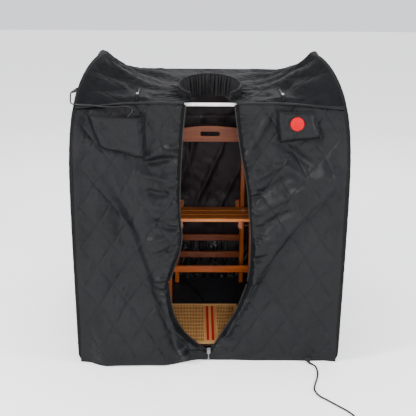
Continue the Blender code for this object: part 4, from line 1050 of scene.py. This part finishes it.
# ------------------------------------------------------------------ back wall
zs = np.linspace(0.0004, 1.0, 270)
u = np.linspace(-1, 1, 260)[None, :]
zt = 0.8895 * zs[:, None] + 0 * u
Xb = (hx(zt) - 0.001) * u
ztop_ = top_z(Xb, REAR_Y + 0 * Xb) - 0.0045
Zb = 0.0006 + (ztop_ - 0.0006) * zs[:, None]
Yb = hy(Zb)
G = np.stack([Xb, Yb, Zb], -1)
near = ss(0.004, 0.035, hx(Zb) - np.abs(Xb)) * ss(0.006, 0.03, Zb) * ss(0.0, 0.03, ztop_ + 0.004 - Zb)
d = quilt(Xb, Zb, phase=(0.2, 0.3)) * near + 0.0030 * wobble(Xb, Zb, 81, 10, 2.0, 9.0) * near + 0.0006 * wobble(Xb, Zb, 82, 12, 20, 60) * near
for p, q, w, h in [((-0.35, 0.75), (0.10, 0.50), 0.035, 0.0050), ((0.35, 0.70), (-0.05, 0.35), 0.035, 0.0045), ((-0.30, 0.35), (0.25, 0.15), 0.030, -0.0040),
                   ((0.38, 0.45), (0.10, 0.12), 0.030, 0.0040)]:
    d = d + wrinkle(Xb, Zb, p, q, w, h) * near
d = d + 0.0060 * ss(0.045, 0.0, hx(Zb) - np.abs(Xb))
back, A_b, _, _ = sheet("back_wall", G, (0, 1, 0), 0.0028, disp=np.minimum(d, 0.0085))
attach(back, "root")
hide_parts("back_panel")

# ------------------------------------------------------------------ hoop sleeves
for side, nm in ((-1, "left"), (1, "right")):
    pts = hoop_loop(side, 460)
    s = np.arange(460) / 460.0 * 2 * math.pi
    sc = 0.985 + 0.030 * np.sin(61 * s + 2 * np.sin(9 * s)) + 0.020 * np.sin(137 * s + 1.0 + side)
    slv = tube_mesh("hoop_sleeve_" + nm, pts, HOOP_R, M_BIND, 20, closed=True, scale=np.minimum(sc, 1.02))
    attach(slv, "root")
    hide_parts("hoop_" + nm)
    # raised welt of the seam on the sleeve's outer side
    T = np.roll(pts, -1, 0) - np.roll(pts, 1, 0)
    T /= np.linalg.norm(T, axis=1, keepdims=True)
    ctr = np.array((side * 0.10, 0.0, 0.45))
    rad_ = pts - ctr
    rad_[:, 0] *= 0.55
    rad_ -= T * (rad_ * T).sum(1, keepdims=True)
    rad_ /= np.linalg.norm(rad_, axis=1, keepdims=True)
    w_pts = pts + rad_ * 0.0072
    w_pts[:, 2] = np.maximum(w_pts[:, 2], 0.0032)
    welt = tube_mesh("hoop_welt_" + nm, w_pts, 0.0026, M_BIND, 10, closed=True)
    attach(welt, "root")

# ------------------------------------------------------------------ linings
def lining_fold(x, z, seed):
    return 0.0030 * wobble(x, z, seed, 10, 2.0, 8.0) + 0.0008 * wobble(x, z, seed + 1, 10, 14.0, 40.0)


zb = np.linspace(0.190, 0.868, 190)
u = np.linspace(-1, 1, 200)[None, :]
Zl = zb[:, None] + 0 * u
Xl = (hx(Zl) - 0.016) * u
Yl = hy(Zl) - 0.0150
G = np.stack([Xl, Yl, Zl], -1)
d = lining_fold(Xl, Zl, 101)
for p, q, w, h in [((-0.06, 0.30), (0.10, 0.66), 0.013, 0.0060), ((-0.02, 0.28), (0.13, 0.60), 0.012, -0.0045), ((0.03, 0.27), (0.15, 0.52), 0.011, 0.0050),
                   ((-0.13, 0.36), (-0.02, 0.70), 0.016, 0.0050), ((-0.22, 0.80), (-0.05, 0.60), 0.020, 0.0050), ((0.22, 0.80), (0.05, 0.70), 0.018, 0.0045)]:
    d = d + wrinkle(Xl, Zl, p, q, w, h)
# stitched channels round the heater pad
for xk in (-0.215, -0.075, 0.075, 0.215):
    d = d - 0.0022 * np.exp(-((Xl - xk) / 0.0025) ** 2) * ss(0.13, 0.15, Zl) * ss(0.715, 0.70, Zl)
for zk in (0.705,):
    d = d - 0.0022 * np.exp(-((Zl - zk) / 0.0025) ** 2) * ss(0.225, 0.21, np.abs(Xl))
d = np.clip(d, -0.0022, 0.0095)
lin_b, A_l, _, _ = sheet("lining_back", G, (0, -1, 0), 0.0012, [M_LINING, M_LINING, M_BIND], disp=d)
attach(lin_b, "root")
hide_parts("heater_back")

# glossy pleated strip along the foot of the back lining
zb = np.linspace(0.0032, 0.196, 80)
u = np.linspace(-1, 1, 520)[None, :]
Zl = zb[:, None] + 0 * u
Xl = 0.418 * u + 0 * Zl
Yl = hy(Zl) - 0.0165
G = np.stack([Xl, Yl, Zl], -1)
tie_x = 0.016
pinch = np.exp(-((Xl - tie_x) / 0.05) ** 2)
d = 0.0030 * np.sin(2 * math.pi * (Xl * 22 + 0.6 * np.sin(Xl * 21) + 0.5 * pinch * (Zl - 0.14) * 8)) * ss(0.0, 0.02, Zl) * ss(0.198, 0.175, Zl)
d = d + 0.0012 * np.sin(2 * math.pi * (Xl * 47 + 0.9 * np.sin(Zl * 30))) + 0.0030 * pinch * np.cos((Zl - 0.13) * 60)
d = d - 0.0012
skirt, A_s, _, _ = sheet("lining_foot_strip", G, (0, -1, 0), 0.0010, [M_SKIRT, M_SKIRT, M_BIND], disp=np.clip(d, -0.002, 0.0075))
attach(skirt, "root")

for side, nm in ((-1, "left"), (1, "right")):
    zb = np.linspace(0.0046, 0.872, 190)
    u = np.linspace(-1, 1, 160)[None, :]
    Zl = zb[:, None] + 0 * u
    yh = hy(Zl)
    Yl = (yh - 0.0165) * u
    Xl = side * (hx(Zl) - 0.0128) + 0 * u
    G = np.stack([Xl, Yl, Zl], -1)
    d = lining_fold(Yl, Zl, 120 + side)
    for yk in (-0.205, -0.055, 0.095, 0.255):
        d = d - 0.0018 * np.exp(-((Yl - yk) / 0.0025) ** 2) * ss(0.11, 0.13, Zl) * ss(0.635, 0.62, Zl)
    if side < 0:
        d = np.minimum(d, 0.0012 + 0.004 * ss(0.05, 0.10, np.hypot(Yl - 0.28, Zl - 0.02)))
    lin, A_l, _, _ = sheet("lining_" + nm, G, (-side, 0, 0), 0.0010, [M_LINING, M_LINING, M_BIND], disp=np.clip(d, -0.0014, 0.0085))
    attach(lin, "root")
    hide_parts("heater_" + nm)

# ground sheet
xs = np.linspace(-0.4262, 0.4262, 230)
ys = np.linspace(-0.3615, 0.3668, 200)
Xf, Yf = np.meshgrid(xs, ys)
d = 0.0024 + 0.0014 * wobble(Xf, Yf, 140, 10, 2.5, 9.0) + 0.0004 * wobble(Xf, Yf, 141, 12, 16.0, 50.0)
for p, q, w, h in [((-0.12, 0.05), (0.20, 0.22), 0.010, 0.0016), ((0.02, 0.28), (0.22, 0.10), 0.010, 0.0016), ((-0.30, -0.10), (-0.20, 0.25), 0.010, 0.0018)]:
    d = d + wrinkle(Xf, Yf, p, q, w, h)
cap = 0.0052 - 0.0028 * ss(0.338, 0.350, Yf) - 0.0013 * ss(0.400, 0.412, np.abs(Xf)) * ss(0.350, 0.338, Yf)
under = ss(0.02, 0.0, np.maximum(np.abs(Xf + 0.035) - 0.152, np.abs(Yf + 0.1225) - 0.17))
cap = cap * (1 - under) + 0.0042 * under
for fx in (0.011 - 0.133, 0.011 + 0.133, 0.011 - 0.1567, 0.011 + 0.1567):
    for fy in (0.311, 0.0676):
        k = ss(0.03, 0.014, np.hypot(Xf - fx, Yf - fy))
        cap = cap * (1 - k) + 0.0041 * k
G = np.stack([Xf, Yf, 0 * Xf + np.clip(d + 0.0006, 0.0016, cap)], -1)
inner = np.stack([Xf, Yf, 0 * Xf + 0.0003 + 0.0012], -1)
gs, A_g, _, _ = sheet("ground_sheet", G, (0, 0, 1), 0.0012, [M_FLOOR, M_FLOOR, M_BIND], inner=inner)
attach(gs, "root")
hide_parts("floor_sheet")

# ------------------------------------------------------------------ pockets
def pocket(name, corners, depth, side, mouth_sag):
    c = [np.array(k, float) for k in corners]
    nu, nv = 130, 100
    U = np.linspace(0, 1, nu)[None, :]
    V = np.linspace(0, 1, nv)[:, None]
    p = ((c[3][None, None] * (1 - U[..., None]) + c[2][None, None] * U[..., None]) * (1 - V[..., None])
         + (c[0][None, None] * (1 - U[..., None]) + c[1][None, None] * U[..., None]) * V[..., None])
    x = p[..., 0]
    z = p[..., 1] - mouth_sag * np.sin(math.pi * U) * V ** 2
    k = np.minimum(1.0, np.minimum(U, 1 - U) / 0.16)
    kv = np.minimum(1.0, V / 0.20)
    off = 0.0046 + depth * (k * (2 - k)) * (kv * (2 - kv))
    G = np.stack([x, front_y(x, z) - off, z], -1)
    inside = ss(0.0, 0.10, U) * ss(1.0, 0.90, U) * ss(0.0, 0.10, V)
    d = 0.0024 * wobble(x * 1.2, z, 160 + side, 8, 4.0, 14.0) * inside + 0.0005 * wobble(x, z, 165 + side, 10, 25, 70)
    # hem with two rows of stitching at the mouth
    for vk in (0.93, 0.965):
        d = d - 0.0010 * np.exp(-((V - vk) / 0.008) ** 2)
    d = d + 0.0012 * ss(0.91, 0.94, V)
    for uk in (0.035, 0.965):
        d = d - 0.0009 * np.exp(-((U - uk) / 0.010) ** 2)
    d = d - 0.0009 * np.exp(-((V - 0.045) / 0.012) ** 2)
    return G, d, x, z


for nm, corners, depth, side, sag in (
        ("left", [(-0.392, 0.848), (-0.208, 0.838), (-0.203, 0.700), (-0.352, 0.738)], 0.0290, -1, 0.0015),
        ("right", [(0.330, 0.858), (0.210, 0.860), (0.219, 0.753), (0.357, 0.776)], 0.0200, 1, 0.0020)):
    G, d, px, pz = pocket("pocket_" + nm, corners, depth, side, sag)
    if side < 0:
        for p, q, w, h in [((-0.37, 0.800), (-0.22, 0.730), 0.012, 0.0040), ((-0.34, 0.830), (-0.30, 0.745), 0.010, -0.0035), ((-0.30, 0.720), (-0.21, 0.715), 0.008, 0.0030)]:
            d = d + wrinkle(px, pz, p, q, w, h)
    else:
        for p, q, w, h in [((0.335, 0.850), (0.240, 0.765), 0.011, 0.0030), ((0.320, 0.790), (0.225, 0.770), 0.009, -0.0025), ((0.345, 0.785), (0.300, 0.845), 0.009, 0.0026)]:
            d = d + wrinkle(px, pz, p, q, w, h)
    ob, A_p, _, _ = sheet("pocket_cloth_" + nm, G, (0, -1, 0), 0.0016, [M_QUILT, M_LINING, M_BIND], disp=d)
    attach(ob, "root")
    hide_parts("pocket_" + nm)
    mouth = A_p[-1]
    mt = tube_mesh("pocket_mouth_" + nm, mouth[::2] + np.array((0, -0.0002, 0.0)), 0.0019, M_BIND, 10)
    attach(mt, "root")
    if side > 0:
        pocket_right_A = A_p

# plain round badge with a stitched rim, on the right pocket
blo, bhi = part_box("pocket_badge")
bc = (blo + bhi) / 2
rows_, cols_ = 26, 64
V_, F_ = [], []
R_b = 0.0220
tilt = Matrix.Rotation(math.radians(-3.4), 3, "X")
for i in range(rows_ + 1):
    r = R_b * i / rows_
    k = i / rows_
    h = 0.0016 + 0.0007 * math.exp(-((k - 0.93) / 0.05) ** 2) - 0.0005 * math.exp(-((k - 0.85) / 0.02) ** 2) - 0.0010 * ss(0.97, 1.0, k)
    for j in range(cols_):
        a = 2 * math.pi * j / cols_
        st = 0.00025 * math.sin(a * 32) * (1 if 0.88 < k < 1.0 else 0)
        q = tilt @ Vector((r * math.cos(a), -(h + st), r * math.sin(a)))
        V_.append((bc.x + q.x, bc.y - 0.0006 + q.y, bc.z + q.z))
for j in range(cols_):
    a = 2 * math.pi * j / cols_
    q = tilt @ Vector((R_b * math.cos(a), 0.0004, R_b * math.sin(a)))
    V_.append((bc.x + q.x, bc.y - 0.0006 + q.y, bc.z + q.z))
for i in range(1, rows_ + 1):
    for j in range(cols_):
        a, b = i * cols_ + j, i * cols_ + (j + 1) % cols_
        c, d = (i + 1) * cols_ + (j + 1) % cols_, (i + 1) * cols_ + j
        F_.append((a, b, c, d))
cen = len(V_)
V_.append(tuple(np.mean([V_[j] for j in range(cols_)], axis=0)))
for j in range(cols_):
    F_.append((cols_ + j, cen, cols_ + (j + 1) % cols_))
F_.append(tuple((rows_ + 1) * cols_ + j for j in range(cols_)))
used = sorted(set(i for f in F_ for i in f))
remap = {o: n for n, o in enumerate(used)}
badge = finish_mesh("sewn_badge", [V_[i] for i in used], [tuple(remap[i] for i in f) for f in F_], [M_BADGE], sharp=60)
bm_fix(badge)
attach(badge, "root")
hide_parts("pocket_badge")

# ------------------------------------------------------------------ arm-hole zips on the roof
for side, nm in ((-1, "left"), (1, "right")):
    ya = np.linspace(-0.300, -0.145, 90)
    xa = side * (SL_X + 0 * ya)
    zl = track_z(ya)
    prof = [(-0.0080, -0.0014), (-0.0062, -0.0006), (-0.0024, -0.0006), (-0.0018, 0.0), (0.0018, 0.0), (0.0024, -0.0006), (0.0062, -0.0006), (0.0080, -0.0014)]
    G = np.stack([np.stack([xa + a, ya, zl + b - 0.0009], -1) for a, b in prof], 1)
    tp, A_t, _, _ = sheet("arm_zip_tape_" + nm, G, (0, 0, 1), 0.0010, [M_TAPE, M_TAPE, M_TAPE])
    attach(tp, "root")
    items = []
    for y in np.arange(-0.297, -0.148, 0.0030):
        items.append(((side * SL_X, y, float(track_z(np.array(y))) - 0.0006), (0.0020, 0, 0), (0, 0.0008, 0), (0, 0, 0.0004)))
    th = blocks("arm_zip_teeth_" + nm, items, M_TOOTH)
    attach(th, "root")

# ------------------------------------------------------------------ foot mat
(mx0, my0, mz0), (mx1, my1, mz1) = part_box("mat_slatted_top")
mb0, mb1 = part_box("mat_heating_pad")
# dark core block under the slats: painted shade seen down the slots
base = blocks("mat_core", [(((mx0 + mx1) / 2, (my0 + my1) / 2, (mz0 + 0.0003 + mz1 - 0.0036) / 2), ((mx1 - mx0) / 2 - 0.0010, 0, 0), (0, (my1 - my0) / 2 - 0.0010, 0), (0, 0, (mz1 - 0.0036 - mz0 - 0.0003) / 2))], M_BAMBOO_SLOT_SHADE, 0.0010)
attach(base, "root")

PITCH, SLOT_W, ROW, SLOT_L = 0.00575, 0.0027, 0.0290, 0.0200


def slotted(name, x0, x1, y0, y1, ztop, zbot, mat):
    """A board with rows of narrow slots, all columns in line."""
    verts, faces, dark = [], [], []
    ncol = int(round((x1 - x0) / PITCH))
    pw = (x1 - x0) / ncol

    def quad(p, m=0):
        dark.append(m)
        k = len(verts)
        verts.extend(p)
        faces.append((k, k + 1, k + 2, k + 3))
    for c in range(ncol):
        xa, xb = x0 + c * pw, x0 + (c + 1) * pw
        sa, sb = (xa + xb) / 2 - SLOT_W / 2, (xa + xb) / 2 + SLOT_W / 2
        crown = 0.0004
        off = 0.0
        ys_ = []
        y = y0 + 0.006 - off
        while y < y1 - 0.004:
            a, b = max(y, y0 + 0.003), min(y + SLOT_L, y1 - 0.003)
            if b - a > 0.005:
                ys_.append((a, b))
            y += ROW
        # side lands with a shallow groove between the strips
        g = 0.00035
        quad([(xa + g, y0, ztop), (sa, y0, ztop), (sa, y1, ztop), (xa + g, y1, ztop)])
        quad([(sb, y0, ztop), (xb - g, y0, ztop), (xb - g, y1, ztop), (sb, y1, ztop)])
        quad([(xa, y0, ztop - 0.0006), (xa + g, y0, ztop), (xa + g, y1, ztop), (xa, y1, ztop - 0.0006)])
        quad([(xb - g, y0, ztop), (xb, y0, ztop - 0.0006), (xb, y1, ztop - 0.0006), (xb - g, y1, ztop)])
        yy_ = y0
        for a, b in ys_:
            if a > yy_:
                quad([(sa, yy_, ztop), (sb, yy_, ztop), (sb, a, ztop), (sa, a, ztop)])
            # slot walls and bottoms take the near-black bamboo: painted shade in the slots
            quad([(sa, a, ztop), (sa, a, zbot), (sa, b, zbot), (sa, b, ztop)], 1)
            quad([(sb, b, ztop), (sb, b, zbot), (sb, a, zbot), (sb, a, ztop)], 1)
            quad([(sb, a, ztop), (sb, a, zbot), (sa, a, zbot), (sa, a, ztop)], 1)
            quad([(sa, b, ztop), (sa, b, zbot), (sb, b, zbot), (sb, b, ztop)], 1)
            quad([(sa, a, zbot), (sb, a, zbot), (sb, b, zbot), (sa, b, zbot)], 1)
            yy_ = b
        if yy_ < y1:
            quad([(sa, yy_, ztop), (sb, yy_, ztop), (sb, y1, ztop), (sa, y1, ztop)])
    # outer walls and underside
    quad([(x0, y0, zbot), (x1, y0, zbot), (x1, y0, ztop - 0.0006), (x0, y0, ztop - 0.0006)])
    quad([(x1, y1, zbot), (x0, y1, zbot), (x0, y1, ztop - 0.0006), (x1, y1, ztop - 0.0006)])
    quad([(x0, y1, zbot), (x0, y0, zbot), (x0, y0, ztop - 0.0006), (x0, y1, ztop - 0.0006)])
    quad([(x1, y0, zbot), (x1, y1, zbot), (x1, y1, ztop - 0.0006), (x1, y0, ztop - 0.0006)])
    quad([(x0, y1, zbot - 0.0002), (x1, y1, zbot - 0.0002), (x1, y0, zbot - 0.0002), (x0, y0, zbot - 0.0002)])
    ob = finish_mesh(name, verts, faces, [mat, M_BAMBOO_SLOT_SHADE], dark, sharp=30)
    import bmesh
    bm = bmesh.new()
    bm.from_mesh(ob.data)
    bmesh.ops.remove_doubles(bm, verts=bm.verts[:], dist=0.00001)
    bm.to_mesh(ob.data)
    bm.free()
    return ob


FR = 0.0150                      # front and rear border strips
bx = [mx0 + 0.0150, -0.0150, 0.0350, mx1 - 0.0150]
zt_, zb_ = mz1 - 0.0002, mz1 - 0.0034
lat1 = slotted("mat_slats_left", bx[0], bx[1], my0 + FR, my1 - FR, zt_, zb_, M_BAMBOO)
lat2 = slotted("mat_slats_right", bx[2], bx[3], my0 + FR, my1 - FR, zt_, zb_, M_BAMBOO)
zc_ = (zt_ + zb_) / 2
hz = (zt_ - zb_) / 2
edge_items = [(((mx0 + mx1) / 2, my0 + FR / 2, zc_), ((mx1 - mx0) / 2, 0, 0), (0, FR / 2 - 0.0003, 0), (0, 0, hz)),
              (((mx0 + mx1) / 2, my1 - FR / 2, zc_), ((mx1 - mx0) / 2, 0, 0), (0, FR / 2 - 0.0003, 0), (0, 0, hz))]
frame_x = blocks("mat_border_front_rear", edge_items, M_BAMBOO_X, 0.0006)
cy_ = (my0 + my1) / 2
ly_ = (my1 - my0) / 2 - FR - 0.0002
strips = [((mx0 + 0.0074, cy_, zc_), (0.0070, 0, 0), (0, ly_, 0), (0, 0, hz)),
          ((mx1 - 0.0074, cy_, zc_), (0.0070, 0, 0), (0, ly_, 0), (0, 0, hz)),
          ((-0.0115, cy_, zc_), (0.0032, 0, 0), (0, ly_, 0), (0, 0, hz)),
          ((0.0315, cy_, zc_), (0.0032, 0, 0), (0, ly_, 0), (0, 0, hz)),
          ((0.0100, cy_, zc_ - 0.0003), (0.0178, 0, 0), (0, ly_, 0), (0, 0, hz - 0.0003))]
frame_y = blocks("mat_border_strips", strips, M_BAMBOO, 0.0006)
band_items = [((-0.0005, cy_, zt_ - 0.0002), (0.0046, 0, 0), (0, ly_ - 0.008, 0), (0, 0, 0.0004)),
              ((0.0180, cy_, zt_ - 0.0002), (0.0046, 0, 0), (0, ly_ - 0.008, 0), (0, 0, 0.0004))]
bands = blocks("mat_colour_bands", band_items, M_RED, 0.0002)
for o in (lat2, frame_x, frame_y, bands):
    o.parent = lat1
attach(lat1, "root")
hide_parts("mat_slatted_top")

# ------------------------------------------------------------------ materials of the carried-over pieces
for n in ("chair_post_left", "chair_post_right", "chair_leg_left", "chair_leg_right"):
    paint(n, M_WOOD["Z"])
paint("chair_back_slat", M_WOOD_SLAT_SHADED)
paint("chair_front_stretcher", M_WOOD["X"])
for n in ("chair_rear_rail_upper", "chair_rear_rail_lower"):
    paint(n, M_WOOD_RAIL_SHADED)
for n in ("chair_seat_slat_front", "chair_seat_slat_middle", "chair_seat_slat_rear"):
    paint(n, M_WOOD_SEAT_LIT)
for n in ("chair_seat_rail_left", "chair_seat_rail_right"):
    paint(n, M_WOOD["Y"])
for n in ("seat_pivot_bolt_left", "seat_pivot_bolt_right", "leg_pivot_bolt_left", "leg_pivot_bolt_right"):
    paint(n, M_BOLT)
for n in ("zip_slider", "zip_pull", "arm_zip_slider_left", "arm_zip_slider_right"):
    paint(n, M_METAL)
for n in ("front_rod", "rear_rod"):
    paint(n, M_ROD)
for n in ("cord_grommet", "mat_lead_socket", "mat_heating_pad"):
    paint(n, M_RUBBER)
paint("handset_case", M_CASE)
paint("handset_display", M_GLASS)
for n in ("button_power", "button_minus", "button_plus"):
    paint(n, M_KEY)

# ------------------------------------------------------------------ studio
def plane(name, verts, mat):
    me = bpy.data.meshes.new(name)
    me.from_pydata(verts, [], [(0, 1, 2, 3)])
    me.materials.append(mat)
    o = bpy.data.objects.new(name, me)
    scene.collection.objects.link(o)
    return o


m_floor, _nt, _b = new_mat("studio_floor", 0.9, Emission_Color=(1, 1, 1, 1), Emission_Strength=0.55)
_b.inputs["Base Color"].default_value = (0.92, 0.92, 0.92, 1)
floor = plane("studio_floor", [(-8, -5, -0.0002), (8, -5, -0.0002), (8, 10, -0.0002), (-8, 10, -0.0002)], m_floor)

world = bpy.data.worlds.new("world") if scene.world is None else scene.world
scene.world = world
world.use_nodes = True
bg = world.node_tree.nodes.get("Background")
bg.inputs["Color"].default_value = (0.95, 0.96, 1.0, 1)
bg.inputs["Strength"].default_value = 1.35


def area_light(name, loc, target, size, power, color=(1, 1, 1)):
    l = bpy.data.lights.new(name, "AREA")
    l.shape = "RECTANGLE"
    l.size, l.size_y = size
    l.energy = power
    l.color = color
    o = bpy.data.objects.new(name, l)
    scene.collection.objects.link(o)
    o.location = loc
    o.rotation_euler = (Vector(target) - Vector(loc)).to_track_quat("-Z", "Y").to_euler()
    return o


area_light("key", (-2.3, -1.5, 2.5), (0, 0, 0.55), (0.7, 0.7), 135, (1.0, 0.99, 0.97))
area_light("fill", (2.6, -1.1, 1.9), (0, 0, 0.5), (0.7, 0.9), 70, (0.95, 0.97, 1.0))
area_light("overhead", (0.1, 0.2, 2.9), (0, 0, 0.8), (1.6, 1.0), 26)
area_light("front_low", (0.05, -3.2, 1.25), (0, 0.1, 0.42), (0.5, 0.5), 46, (1.0, 0.97, 0.93))
area_light("back", (0.3, 2.6, 1.8), (0, 0, 0.5), (1.6, 1.2), 22)
